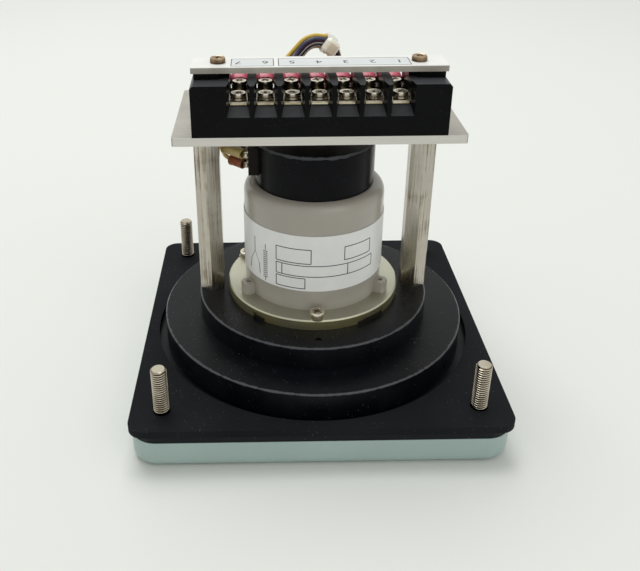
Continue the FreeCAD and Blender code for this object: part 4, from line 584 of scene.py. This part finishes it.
# %% Threaded studs
def thread_grid(low, high, root, crest, pitch, chamfer, columns=36):
    """Threaded rod: rows at z = low + pitch * (row + way round), their radius between root and crest."""
    phases = (0.0, 0.22, 0.56, 0.7)
    turns = int(np.ceil((high - low) / pitch)) + 1
    rises = (np.arange(-1, turns)[:, None] + np.array(phases)).ravel()
    way = np.linspace(0, 1, columns + 1)
    z = np.clip(low + pitch * (rises[:, None] + way), low, high)
    phase = np.mod((z - low) / pitch - way + 1e-9, 1.0)
    radius = np.interp(phase, (*phases, 1.0), (root, root, crest, crest, root))
    radius = np.minimum(radius, crest - chamfer * np.clip((z - high) / chamfer + 1, 0, 1))
    return np.stack((radius * np.cos(2 * np.pi * way), radius * np.sin(2 * np.pi * way), z), axis=-1)


def ring_rows(profile, columns=36):
    """Rows of a turned shape: each pair of radius and height becomes a circle about the upright axis."""
    radius, height = np.array(profile).T[:, :, None]
    way = 2 * np.pi * np.linspace(0, 1, columns + 1)
    return np.stack((radius * np.cos(way), radius * np.sin(way), height + 0 * way), axis=-1)


stud_low, stud_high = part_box("mounting_studs")
gasket_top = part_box("panel_gasket")[1].z
stud_radius = 3.0 * mm
stud_root = 2.5 * mm
stud_neck = 2.65 * mm
tip_radius = 2.3 * mm
thread_low = gasket_top + 0.6 * mm
thread = thread_grid(thread_low, stud_high.z, stud_root, stud_radius, 1.0 * mm, 0.7 * mm)
neck = [(0, stud_low.z), (stud_neck, stud_low.z), (stud_neck, thread_low), (stud_root, thread_low)]
tip = [(tip_radius, stud_high.z), (0, stud_high.z)]
stud = np.concatenate((ring_rows(neck), thread, ring_rows(tip)))
stud_place = stud_high.x - stud_radius
stud_corners = [(sx * stud_place, sy * stud_place, 0) for sx in (-1, 1) for sy in (-1, 1)]
material, tree, shader = new_material("thread_nickel", Metallic=1.0)
tone = cloudy(tree, 220.0, 1.6)
parts = axes(tree, object_place(tree))
legs = [calculate(tree, "SUBTRACT", calculate(tree, "ABSOLUTE", parts[axis]), stud_place) for axis in "XY"]
# Painted shade: the thread roots, below the tip, are darkened to brown.
root = between(tree, distance(tree, *legs), 2.95 * mm, 2.6 * mm)
below_tip = between(tree, parts["Z"], stud_high.z - 0.2 * mm, stud_high.z - 0.4 * mm)
root = times(tree, root, below_tip)
crest_tone = mixed(tree, tone, (176, 164, 142), (222, 216, 204))
feed(shader, "Base Color", mixed(tree, root, crest_tone, (88, 74, 54)))
feed(shader, "Roughness", between(tree, tone, 0.2, 0.8, 0.28, 0.14))
studs = [turned_about(stud, 1.3 * number, corner) for number, corner in enumerate(stud_corners)]
add_piece("threaded_studs", studs, material, ("mounting_studs",))

# %% [markdown]
# The screws have cross recesses. A disc with a cross in it is awkward to cut, so a square grid is bent
# into the disc instead: x becomes x times the root of 1 - y squared over 2, and y likewise. Grid lines
# stand where the arms of the cross begin and end, and the depth follows from the two square coordinates.
# The same bent square gives the wear: bright on the rim, brown in the recess.

# %% Cross-recess screws
recess_lines = np.array((0.0, 0.1, 0.19, 0.32, 0.46, 0.6, 0.7, 0.85, 1.0))
recess_lines = np.concatenate((-recess_lines[:0:-1], recess_lines))
arm_width = (0.1, 0.19)
arm_reach = (0, 0.19, 0.6, 0.7)
arm_depth = (1, 0.85, 0.5, 0)


def cross_screw(head, rise, shank, length, top_share=0.9, depth=1.2 * mm, crown=0.12 * mm, cone=0.0):
    """Grids and wear of one screw, its head's underside at height 0: bent square and turned rest."""
    u, v = np.meshgrid(recess_lines, recess_lines, indexing="ij")
    x = u * np.sqrt(1 - v ** 2 / 2)
    y = v * np.sqrt(1 - u ** 2 / 2)
    arms = [
        np.interp(abs(across), arm_width, (1, 0)) * np.interp(abs(along), arm_reach, arm_depth)
        for across, along in ((v, u), (u, v))
    ]
    sunk = np.maximum(*arms)
    ring = x ** 2 + y ** 2
    cap_radius = head * top_share
    cap = np.stack((x * cap_radius, y * cap_radius, rise - crown * ring - depth * sunk), axis=-1)
    cap_wear = np.where(sunk > 0.02, 0.1, np.interp(ring, (0.3, 0.7, 1.0), (0.55, 0.7, 1.0)))
    rim = x + 1j * y
    edge = np.concatenate((rim[-1, :-1], rim[:0:-1, -1], rim[0, :0:-1], rim[:-1, 0], rim[-1, :1]))
    middle_share = (1 + top_share) / 2
    profile = np.array([
        (0, -length, 0.3), (shank, -length, 0.3), (shank, -cone, 0.3), (head, 0, 0.2),
        (head, rise * 0.15, 0.3), (head, rise * 0.6, 0.5),
        (head * (1 + middle_share) / 2, rise * 0.82, 0.7), (head * middle_share, rise * 0.93, 1.0),
        (cap_radius, rise - crown, 1.0),
    ])
    radius, height, wear = profile.T[:, :, None]
    side = np.stack((radius * edge.real, radius * edge.imag, height + 0 * edge.real), axis=-1)
    return (cap, side), (cap_wear, wear + 0 * edge.real)


def split_washer(inner, outer, low, high):
    """Spring washer: a rectangle carried along most of a circle, lifted by a fifth of its height."""
    way = np.radians(np.linspace(-82, 262, 30))[:, None]
    lift = np.linspace(0, 0.2, 30)[:, None] * (high - low)
    corner_radius = np.array((inner, inner, outer, outer, inner))
    corner_height = np.array((high, low, low, high, high))
    corners = (corner_radius * np.cos(way), corner_radius * np.sin(way), corner_height + lift)
    grid = closed_ends(np.stack(corners, axis=-1))
    return grid, np.full(grid.shape[:2], 0.35)


def set_screws(name, kinds, material, replaced):
    """One piece from screws of several kinds, each at its places and turned a little differently."""
    grids = []
    marks = []
    for parts, wears, places in kinds:
        for number, place in enumerate(places):
            turn = 0.9 * math.sin(2.4 * number + 7 * place[1] / mm)
            grids += [turned_about(part, turn, place) for part in parts]
            marks += list(wears)
    add_piece(name, grids, material, (replaced,), marks)


def worn_metal(name, dark, bright, low, high):
    """Plated metal, dark where grime stays and bright where it is rubbed, from the wear attribute."""
    material, tree, shader = new_material(name, Metallic=1.0)
    wear = add_node(tree, "ShaderNodeAttribute", attribute_name="wear").outputs["Fac"]
    tone = cloudy(tree, 500.0, 0.9)
    wear_and_highlight = calculate(tree, "MULTIPLY_ADD", calculate(tree, "SUBTRACT", tone, 0.5), 0.8, wear)
    share = between(tree, wear_and_highlight, 0.0, 1.0)
    feed(shader, "Base Color", mixed(tree, share, dark, bright))
    feed(shader, "Roughness", between(tree, wear_and_highlight, 0.0, 1.0, high, low))
    return material


worn_nickel = worn_metal("worn_nickel", (112, 98, 74), (238, 231, 214), 0.2, 0.46)
pole_pitch = 9.7 * mm
pole_places = (np.arange(7) - 3) * pole_pitch
front_row = -21 * mm
rear_row = -6 * mm
front_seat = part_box("clamp_washers")[1].z
screw_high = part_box("pole_screws")[1]
rear_seat = screw_high.z - 2.5 * mm
washer_height = 0.75 * mm
head_seat = washer_height * 1.2
rear_top = screw_high.z - 0.1 * mm
washer, washer_wear = split_washer(1.6 * mm, 3.0 * mm, 0.03 * mm, washer_height)
kinds = []
for row, seat, top in ((front_row, front_seat, screw_high.z), (rear_row, rear_seat, rear_top)):
    screw, wears = cross_screw(
        head=2.7 * mm, rise=top - seat - head_seat, shank=1.5 * mm, length=6 * mm + head_seat
    )
    kinds.append((screw, wears, [(x, row, seat + head_seat) for x in pole_places]))
    kinds.append(((washer,), (washer_wear,), [(x, row, seat) for x in pole_places]))
set_screws("pole_screw_heads", kinds, worn_nickel, "pole_screws")

flange_circle = 33 * mm
flange_low, flange_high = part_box("flange_screws")
flange_washer = 0.6 * mm
washer_top = ring_top + flange_washer
flange_places = [
    (flange_circle * math.cos(turn), flange_circle * math.sin(turn), washer_top)
    for turn in np.radians((-90, 30, 150))
]
screw, wears = cross_screw(
    head=3.0 * mm, rise=flange_high.z - washer_top, shank=2.0 * mm, length=washer_top - flange_low.z
)
flat = ring_rows([(0, -flange_washer), (3.3 * mm, -flange_washer), (3.3 * mm, 0), (0, 0)])
kinds = [(screw, wears, flange_places), ((flat,), (np.full(flat.shape[:2], 0.6),), flange_places)]
set_screws("flange_screw_heads", kinds, worn_nickel, "flange_screws")

post_reach = 43.1 * mm
post_low, post_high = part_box("post_screws")
post_places = [(side * post_reach, 0, post_high.z) for side in (-1, 1)]
screw, wears = cross_screw(
    head=4.6 * mm, rise=0.0, shank=2.0 * mm, length=post_high.z - post_low.z,
    top_share=1.0, depth=1.4 * mm, crown=0.0, cone=2.6 * mm,
)
set_screws("post_screw_heads", [(screw, wears, post_places)], worn_nickel, "post_screws")

strip_reach = 36.5 * mm
strip_low, strip_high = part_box("marking_strip")
strip_middle = (strip_low.y + strip_high.y) / 2
strip_screw_low, strip_screw_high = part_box("strip_screws")
strip_places = [(side * strip_reach, strip_middle, strip_high.z) for side in (-1, 1)]
screw, wears = cross_screw(
    head=2.8 * mm, rise=strip_screw_high.z - strip_high.z, shank=1.5 * mm,
    length=strip_high.z - strip_screw_low.z, top_share=0.84, depth=1.0 * mm, crown=0.3 * mm,
)
bronze = worn_metal("bronzed_screw", (58, 44, 34), (172, 148, 120), 0.3, 0.5)
set_screws("strip_screw_heads", [(screw, wears, strip_places)], bronze, "strip_screws")

# %% [markdown]
# Under each front screw lies a pressed clamp plate whose left and right edges are turned up, so that a wire
# can't slip out sideways. Its section is a shallow channel, carried straight from front to back. A channel
# is hollow, so its two ends are closed by a strip between its lower and its upper line.

# %% Clamp plates
clamp_low, clamp_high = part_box("clamp_washers")
channel_x = np.array((-3.6, -3.58, -3.4, -2.9, 2.9, 3.4, 3.58, 3.6)) * mm
channel_z = np.array((1.9, 1.0, 0.28, 0.0, 0.0, 0.28, 1.0, 1.9)) * mm
hollow_x = np.array((-3.16, -3.14, -3.08, -2.8, 2.8, 3.08, 3.14, 3.16)) * mm
hollow_z = np.array((1.9, 1.1, 0.75, 0.62, 0.62, 0.75, 1.1, 1.9)) * mm
bent = 0.7 * mm
bulge = bent * (1 - (channel_x / channel_x[-1]) ** 2)
clamp_grids = []
clamp_marks = []
clamp_rows = ((clamp_low.y, -1), (clamp_low.y + bent, 0), (clamp_high.y - bent, 0), (clamp_high.y, 1))
for x in pole_places:
    sections = []
    for y, share in clamp_rows:
        lower = np.stack((channel_x + x, y + share * bulge, channel_z + clamp_low.z), axis=-1)
        upper = np.stack((hollow_x + x, y + share * bulge, hollow_z + clamp_low.z), axis=-1)
        sections.append((lower, upper))
    along = np.stack([np.concatenate((lower, upper[::-1], lower[:1])) for lower, upper in sections])
    caps = [np.stack(sections[0]), np.stack(sections[-1])]
    loop = along[0]
    edge_wear = np.interp(loop[:, 2] - clamp_low.z, (0.9 * mm, 1.9 * mm), (0.55, 1.0))
    clamp_grids += [along, *caps]
    clamp_marks += [np.tile(edge_wear, (4, 1)), np.full((2, 8), 0.4), np.full((2, 8), 0.4)]
add_piece("clamp_plates", clamp_grids, worn_nickel, ("clamp_washers",), clamp_marks)

# %% [markdown]
# The rear terminals wear soft red sleeves that are pressed flat towards the screw, so they show as wide
# low domes. Each is a row of ovals along Y: widening from the lead to the mouth, then a little way back
# inside. Below the middle the oval is squared by a smaller power of its cosine and sine, because it lies
# on the bar. The table gives the place, half width, half height and lift of each oval in millimetres.

# %% Red terminal sleeves
sleeve_low, sleeve_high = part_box("terminal_sleeves")
barrel_level = (sleeve_low.z + sleeve_high.z) / 2
sleeve_back = sleeve_high.y / mm
ovals = np.array([
    (sleeve_back, 0, 0, 0), (sleeve_back, 1.9, 1.9, 0), (sleeve_back - 0.3, 2.1, 2.1, 0),
    (4.6, 2.15, 2.1, 0), (2.4, 3.0, 2.5, 0.5), (0.6, 3.55, 2.75, 0.8), (-1.2, 3.6, 2.4, 0.6),
    (-2.6, 3.4, 1.8, 0.35), (-2.9, 3.2, 1.6, 0.3), (-2.8, 2.9, 1.35, 0.3), (-1.0, 3.0, 1.9, 0.45),
    (1.5, 2.2, 1.8, 0.3), (3.0, 1.7, 1.7, 0.1), (3.0, 0, 0, 0.1),
]) * mm
along, half_width, half_height, raised = ovals.T[:, :, None]
way = 2 * np.pi * np.linspace(0, 1, 33)
power = np.where(np.sin(way) < 0, 0.45, 0.9)
across, up = [np.sign(wave) * abs(wave) ** power for wave in (np.cos(way), np.sin(way))]
level = barrel_level + raised + half_height * up
oval = np.stack((half_width * across, along + 0 * way, level), axis=-1)
sleeve_red = soft_plastic("sleeve_vinyl", (222, 84, 110), (238, 124, 142), 0.28)
domes = [oval + (x, 0, 0) for x in pole_places]
add_piece("flared_sleeves", domes, sleeve_red, ("terminal_sleeves",))

# %% [markdown]
# Each of the synchro's leads is soldered to its lug under a varnished sleeve, which is a short tube with an
# open end. The upper front one is long and olive, the lower front one is brown, and the others are buff.
# The five lugs step evenly along Y, and every second one stands in the lower row.

# %% Lug sleeves and solder
def open_sleeve(start, length, outer, bore, flare):
    """Tube along a lead: its line goes out to the flared mouth, then back inside the bore."""
    mouth = outer + flare
    line = np.array([
        (0, bore), (0, outer), (length * 0.55, outer), (length * 0.9, outer + flare * 0.5), (length, mouth),
        (length + 0.05 * mm, mouth - 0.15 * mm), (length, bore + flare), (length * 0.8, bore), (0, bore),
    ])
    way = 2 * np.pi * np.linspace(0, 1, 29)
    reach, radius = line.T[:, :, None]
    side = radius * np.cos(way)
    x = start[0] - (reach + side) * math.sqrt(0.5)
    y = start[1] + (reach - side) * math.sqrt(0.5)
    return np.stack((x, y, start[2] + radius * np.sin(way)), axis=-1)


lug_step = 3.2
lug_levels = (99.5, 94.0)
lug_tips = np.array([(-29.62, -4.28 + lug_step * count, lug_levels[count % 2]) for count in range(5)])
lap = 1.5 * math.sqrt(0.5)
sleeves = [
    open_sleeve((tip + (lap, -lap, 0)) * mm, length * mm, 2.1 * mm, 1.4 * mm, 0.25 * mm)
    for tip, length in zip(lug_tips, (10.5, 6.6, 5.0, 4.75, 3.6))
]
olive = soft_plastic("olive_sleeve", (166, 142, 82), (206, 186, 128), 0.3)
brown = soft_plastic("brown_sleeve", (128, 66, 44), (166, 104, 76), 0.3)
buff = soft_plastic("buff_sleeve", (186, 164, 116), (210, 192, 150), 0.35)
add_piece("olive_lug_sleeve", sleeves[:1], olive, ("lug_sleeves",))
add_piece("brown_lug_sleeve", sleeves[1:2], brown)
add_piece("buff_lug_sleeves", sleeves[2:], buff)

drop_rows = np.linspace(-math.pi / 2, math.pi / 2, 9)[:, None]
drop_way = 2 * np.pi * np.linspace(0, 1, 17)
drop = np.stack((
    0.75 * np.cos(drop_rows) * np.cos(drop_way), 1.15 * np.cos(drop_rows) * np.sin(drop_way),
    1.05 * np.sin(drop_rows) + 0 * drop_way,
), axis=-1) * mm
drops = [drop + (tip + (2.5, -2.12, 0)) * mm for tip in lug_tips]
solder, tree, shader = new_material("solder", Metallic=0.55, Roughness=0.2)
tone = cloudy(tree, 600.0, 1.2)
feed(shader, "Base Color", mixed(tree, tone, (214, 210, 196), (248, 246, 238)))
add_piece("solder_drops", drops, solder)

# %% [markdown]
# One lead is black with four thin white tracers. Its tube is made again here as rings of points along the
# same route as in the CAD model, so that each point knows where it lies round the lead. The cosine of four
# times that angle is stored as an attribute, and the material turns its four peaks into stripes.

# %% Striped lead
stripe_route = np.array([
    (-29.62, 8.52, 99.5), (-32.59, 11.49, 99.5), (-36.44, 19.59, 96.0), (-34.6, 28.78, 97.84),
    (-24.7, 35.53, 99.64), (-8.86, 37.45, 102.04), (8.91, 36.46, 105.0), (10.39, 33.0, 117.36),
    (10.29, 29.49, 126.89), (6.99, 28.03, 133.79), (-0.18, 26.24, 135.04), (-6.82, 23.87, 128.4),
    (-5.5, 17.5, 124.5), (0.0, 12.0, 127.9), (0.0, 2.2, 127.9),
]) * mm


def rounded_route(points, setback_share=0.45, steps=9):
    """Straight runs and tangent arcs; an arc is the weighted mean of its ends and its corner."""
    before, corner, after = points[:-2], points[1:-1], points[2:]
    back = np.linalg.norm(corner - before, axis=1, keepdims=True)
    ahead = np.linalg.norm(after - corner, axis=1, keepdims=True)
    setback = setback_share * np.minimum(back, ahead)
    enter = corner - (corner - before) / back * setback
    leave = corner + (after - corner) / ahead * setback
    cosine = np.sum((corner - before) * (after - corner), axis=1, keepdims=True) / (back * ahead)
    weight = np.sqrt((1 + cosine) / 2)[:, None]
    share = np.linspace(0, 1, steps)[:, None]
    low, middle, high = (1 - share) ** 2, 2 * weight * share * (1 - share), share ** 2
    arcs = (low * enter[:, None] + middle * corner[:, None] + high * leave[:, None]) / (low + middle + high)
    return np.concatenate((points[:1], arcs.reshape(-1, 3), points[-1:]))


def round_lead(route, radius, columns=48):
    """Rings along a route, each arm turned on from the last, and the cosine of four times the angle."""
    steps = np.gradient(route, axis=0)
    ahead = steps / np.linalg.norm(steps, axis=1, keepdims=True)
    arm = np.cross(ahead[0], (0, 0, 1))
    arms = []
    for direction in ahead:
        arm = arm - direction * np.dot(arm, direction)
        arm = arm / np.linalg.norm(arm)
        arms.append(arm)
    arms = np.array(arms)
    others = np.cross(ahead, arms)
    way = 2 * np.pi * np.linspace(0, 1, columns + 1)[:, None]
    rings = route[:, None] + radius * (np.cos(way) * arms[:, None] + np.sin(way) * others[:, None])
    grid = closed_ends(rings)
    return grid, np.tile(np.cos(4 * way[:, 0] + 0.6), (len(grid), 1))


striped, around = round_lead(rounded_route(stripe_route), 0.9 * mm)
material, tree, shader = new_material("tracer_lead", Roughness=0.35)
wear = add_node(tree, "ShaderNodeAttribute", attribute_name="wear").outputs["Fac"]
tracer = between(tree, wear, 0.72, 0.84)
feed(shader, "Base Color", mixed(tree, tracer, (22, 22, 25), (226, 226, 224)))
add_piece("striped_lead", [striped], material, ("black_lead",), [around])

# %% [markdown]
# Printing is ink a few hundredths of a millimetre thick. Each line is a flat bar carried from one point to
# the next, and a digit is a text curve that is made a mesh before it is put in its place. All of it is
# ruled fields, a small winding diagram, a scale and plain numbers.

# %% Printing tools
ink_depth = 0.03 * mm


def flat_bar(start, end, across, width, steps=2, rise=1.0):
    """Bar from start to end in the flat: a rectangle carried along the line and closed at both ends."""
    share = np.linspace(0, 1, steps)[:, None]
    line = (1 - share) * np.array(start) + share * np.array(end)
    side = np.array((-0.5, 0.5, 0.5, -0.5, -0.5))[:, None] * width * np.array(across)
    up = np.array((-1, -1, 1, 1, -1))[:, None] * ink_depth * np.array((0, 0, rise))
    return closed_ends(line[:, None] + side + up)


curved_steps = 24


def frame_bars(x_low, x_high, y_low, y_high, x_width, y_width):
    """Four bars round a rectangle in the flat: two upright ones, then two in steps that can be rolled."""
    upright = [flat_bar((x, y_low, 0), (x, y_high, 0), (1, 0, 0), x_width) for x in (x_low, x_high)]
    ends = [((x_low, y, 0), (x_high, y, 0)) for y in (y_low, y_high)]
    level = [flat_bar(start, end, (0, 1, 0), y_width, curved_steps) for start, end in ends]
    return upright + level


def add_digits(name, texts, size, material):
    """Digits as one mesh piece: each text comes with its three axes and the place of its middle."""
    joined = bmesh.new()
    for body, across, upward, outward, place in texts:
        curve = bpy.data.curves.new(name, "FONT")
        curve.body = body
        curve.size = size
        curve.align_x = curve.align_y = "CENTER"
        curve.extrude = ink_depth
        curve.resolution_u = 4
        holder = new_object(name, curve)
        ready = holder.evaluated_get(bpy.context.evaluated_depsgraph_get())
        flat = bpy.data.meshes.new_from_object(ready)
        bpy.data.objects.remove(holder)
        turned = Matrix((across, upward, outward)).transposed().to_4x4()
        flat.transform(Matrix.Translation(place) @ turned)
        joined.from_mesh(flat)
        bpy.data.meshes.remove(flat)
    mesh = bpy.data.meshes.new(name)
    bmesh.ops.remove_doubles(joined, verts=joined.verts, dist=merge_distance)
    joined.to_mesh(mesh)
    joined.free()
    place_piece(name, mesh, material)


ink = soft_plastic("dark_ink", (26, 29, 36), (38, 41, 48), 0.5)

# %% [markdown]
# The strip is white on top, and its sides get painted shade, a darker grey. It carries two pale fields,
# each in a thin frame, and a number for each pole. It is read from behind the block, so its digits stand
# on their heads in this picture.

# %% Marking strip
strip_top = strip_high.z
material, tree, shader = new_material("white_strip", Roughness=0.4)
level = axes(tree, object_place(tree))["Z"]
# Painted shade: below the top face the sides are mixed to a darker grey.
upper = between(tree, level, strip_top - 0.3 * mm, strip_top - 0.05 * mm)
tone = cloudy(tree, 160.0, 1.6)
edge = mixed(tree, tone, (150, 145, 133), (178, 173, 162))
face = mixed(tree, tone, (228, 228, 223), (238, 238, 234))
feed(shader, "Base Color", mixed(tree, upper, edge, face))
dress(material, "marking_strip")
field_front = strip_middle - 5.4 * mm
field_back = strip_middle + 4.2 * mm
field_depth = field_back - field_front
field_middle = (field_front + field_back) / 2
frame_width = 0.28 * mm
fields = []
frames = []
for left, right in ((-31.6 * mm, -16.4 * mm), (-14.6 * mm, 32.8 * mm)):
    start, end = [(x, field_middle, strip_top) for x in (left, right)]
    fields.append(flat_bar(start, end, (0, 1, 0), field_depth, rise=0.6))
    bars = frame_bars(left, right, field_front, field_back, frame_width, frame_width)
    frames += [bar + (0, 0, strip_top) for bar in bars]
pale = soft_plastic("strip_field", (206, 211, 211), (216, 220, 219), 0.4)
add_piece("strip_fields", fields, pale)
add_piece("strip_frames", frames, ink)
numbers = [
    (str(7 - place), (-1, 0, 0), (0, -1, 0), (0, 0, 1), (x, strip_middle - 0.6 * mm, strip_top))
    for place, x in enumerate(pole_places)
]
add_digits("strip_numbers", numbers, 5.2 * mm, ink)

# %% [markdown]
# The data plate round the case has ruled boxes for its values and a little diagram of the windings. Its
# lines are worked out in the flat, with the way round in degrees, and are then rolled onto the case: x
# becomes the radius times the sine of the angle, and y minus the radius times its cosine.

# %% Data plate lines
band_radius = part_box("nameplate_band")[1].x


def rolled(grid):
    """Flat grid rolled onto the band: degrees in x and the height in y become a place on the cylinder."""
    angle = np.radians(grid[..., 0] / mm)
    radius = band_radius + grid[..., 2]
    return np.stack((radius * np.sin(angle), -radius * np.cos(angle), grid[..., 1]), axis=-1)


line_width = 0.34 * mm
degrees_per_mm = 180 / math.pi / (band_radius / mm)
boxes = np.array([
    (-33.5, -5.0, 62.6, 68.8), (-33.5, 50.0, 56.8, 61.6),
    (-33.5, -9.5, 51.3, 55.9), (21.6, 47.0, 63.4, 69.2),
]) * mm
strokes = [(-46.5, z, -42.0, z + 0.3, 4) for z in np.arange(52.5, 65.0, 0.9)]
strokes += [
    (-28.4, 56.8, -28.4, 61.6, 2), (24.7, 56.8, 24.7, 61.6, 2), (-44.2, 50.9, -44.2, 52.5, 6),
    (-44.2, 65.0, -44.2, 67.4, 6), (-57.0, 62.0, -62.5, 57.5, 6), (-57.0, 62.0, -51.5, 57.5, 6),
    (-57.0, 62.0, -57.0, 68.5, 6), (-62.5, 57.5, -64.0, 53.0, 6), (-51.5, 57.5, -50.5, 53.0, 6),
]
band_grids = []
for box in boxes:
    band_grids += frame_bars(*box, line_width * degrees_per_mm, line_width)
for turn_low, z_low, turn_high, z_high, steps in strokes:
    start = (turn_low * mm, z_low * mm, 0)
    end = (turn_high * mm, z_high * mm, 0)
    across = (degrees_per_mm, 0, 0) if abs(turn_low - turn_high) < 1.6 else (0, 1, 0)
    band_grids.append(flat_bar(start, end, across, line_width, steps))
add_piece("plate_lines", [rolled(grid) for grid in band_grids], ink)

# %% [markdown]
# The dial is read from the front, through the window. Zero is at the bottom, port in red is on the left
# and starboard in green on the right. A rudder degree is two degrees on the dial.

# %% Dial scale
dial_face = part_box("dial_plate")[0].z
dial_spread = 2.0
most_degrees = 45
tick_end = 49.8 * mm
long_starts = {0: 45.6 * mm, 5: 46.6 * mm}
short_start = 48.0 * mm
arc_inner = 50.8 * mm
arc_outer = 53.0 * mm
number_radius = 40.8 * mm
scale_white = soft_plastic("scale_white", (228, 226, 214), (238, 236, 226), 0.6)
port_red = soft_plastic("port_red", (188, 40, 36), (206, 56, 48), 0.55)
starboard_green = soft_plastic("starboard_green", (30, 128, 72), (42, 146, 86), 0.55)


def arc_band(start, end, inner, outer, steps=60):
    """Flat ring sector on the dial's face: a rectangle carried round, closed at both ends."""
    angle = np.radians(np.linspace(start, end, steps))[:, None]
    radius = np.array((inner, outer, outer, inner, inner))
    height = dial_face + np.array((1, 1, -1, -1, 1)) * ink_depth
    rings = np.stack((-radius * np.sin(angle), -radius * np.cos(angle), height + 0 * angle), axis=-1)
    return closed_ends(rings)


ticks = []
for degree in range(-most_degrees, most_degrees + 1):
    width = 0.42 * mm if degree % 5 == 0 else 0.22 * mm
    half = math.degrees(width / 2 / short_start)
    turn = degree * dial_spread
    ticks.append(arc_band(turn - half, turn + half, long_starts.get(degree % 10, short_start), tick_end, 2))
add_piece("dial_ticks", ticks, scale_white)
far_end = most_degrees * dial_spread
add_piece("starboard_arc", [arc_band(4, far_end, arc_inner, arc_outer)], starboard_green)
add_piece("port_arc", [arc_band(-far_end, -4, arc_inner, arc_outer)], port_red)
numbers = []
for degree in range(-40, 41, 10):
    angle = math.radians(degree * dial_spread)
    place = (-number_radius * math.sin(angle), -number_radius * math.cos(angle), dial_face)
    numbers.append((str(abs(degree)), (-1, 0, 0), (0, 1, 0), (0, 0, -1), place))
add_digits("dial_numbers", numbers, 6.6 * mm, scale_white)

# %% [markdown]
# The table is pale and even, with a soft shadow, and far from the object it fades into the plain
# background. The floor's colour is written as it should look, the sky lights it about evenly, and one
# large lamp above and behind draws the shadow towards the camera.

# %% Floor, sky and lamps
floor_side = 6.0
floor_mesh = bpy.data.meshes.new("floor")
corners = np.array([(-1, -1, 0), (1, -1, 0), (1, 1, 0), (-1, 1, 0)]) * floor_side / 2
floor_mesh.from_pydata((corners - (0, 0, 0.05 * mm)).tolist(), [], [(0, 1, 2, 3)])
floor = new_object("floor", floor_mesh)
paper = shade(231, 233, 228)
material, tree, shader = new_material("table", Roughness=0.8, Specular_IOR_Level=0.1, Base_Color=paper)
away = radius_and_height(tree)[0]
to_camera = add_node(tree, "ShaderNodeLightPath").outputs["Is Camera Ray"]
far = times(tree, between(tree, away, 0.6, 1.8), to_camera)
plain = add_node(tree, "ShaderNodeEmission", {"Color": paper, "Strength": 1.0})
faded = add_node(tree, "ShaderNodeMixShader", {0: far, 1: shader.outputs[0], 2: plain.outputs[0]})
tree.links.new(faded.outputs[0], tree.nodes["Material Output"].inputs["Surface"])
floor_mesh.materials.append(material)

world = bpy.data.worlds.new("studio")
world.use_nodes = True
bpy.context.scene.world = world
tree = world.node_tree
tree.nodes.clear()
light_path = add_node(tree, "ShaderNodeLightPath").outputs
seen = add_node(tree, "ShaderNodeBackground", {"Color": paper, "Strength": 1.0})
sky = add_node(tree, "ShaderNodeBackground", {"Color": (1.0, 1.0, 0.99, 1.0), "Strength": 0.55})
shown = calculate(tree, "MAXIMUM", light_path["Is Glossy Ray"], light_path["Is Transmission Ray"])
shown = calculate(tree, "MAXIMUM", light_path["Is Camera Ray"], shown)
choice = add_node(tree, "ShaderNodeMixShader", {0: shown, 1: sky.outputs[0], 2: seen.outputs[0]})
add_node(tree, "ShaderNodeOutputWorld", {"Surface": choice.outputs[0]})


def area_lamp(name, place, aim, side, power):
    """Square soft lamp at a place in metres, facing a point."""
    data = bpy.data.lights.new(name, "AREA")
    data.shape = "SQUARE"
    data.size = side
    data.energy = power
    lamp = new_object(name, data)
    way = np.array(aim) - np.array(place)
    turn = Matrix.Rotation(math.atan2(way[1], way[0]) - math.pi / 2, 4, "Z")
    tilt = Matrix.Rotation(math.pi / 2 + math.atan2(way[2], math.hypot(way[0], way[1])), 4, "X")
    lamp.matrix_world = Matrix.Translation(place) @ turn @ tilt


lamp_aim = (0, 0, 0.05)
area_lamp("ceiling", (-0.2, 0.5, 1.5), lamp_aim, 1.0, 13.5)
area_lamp("window", (0.7, -1.0, 1.1), lamp_aim, 1.0, 2.4)
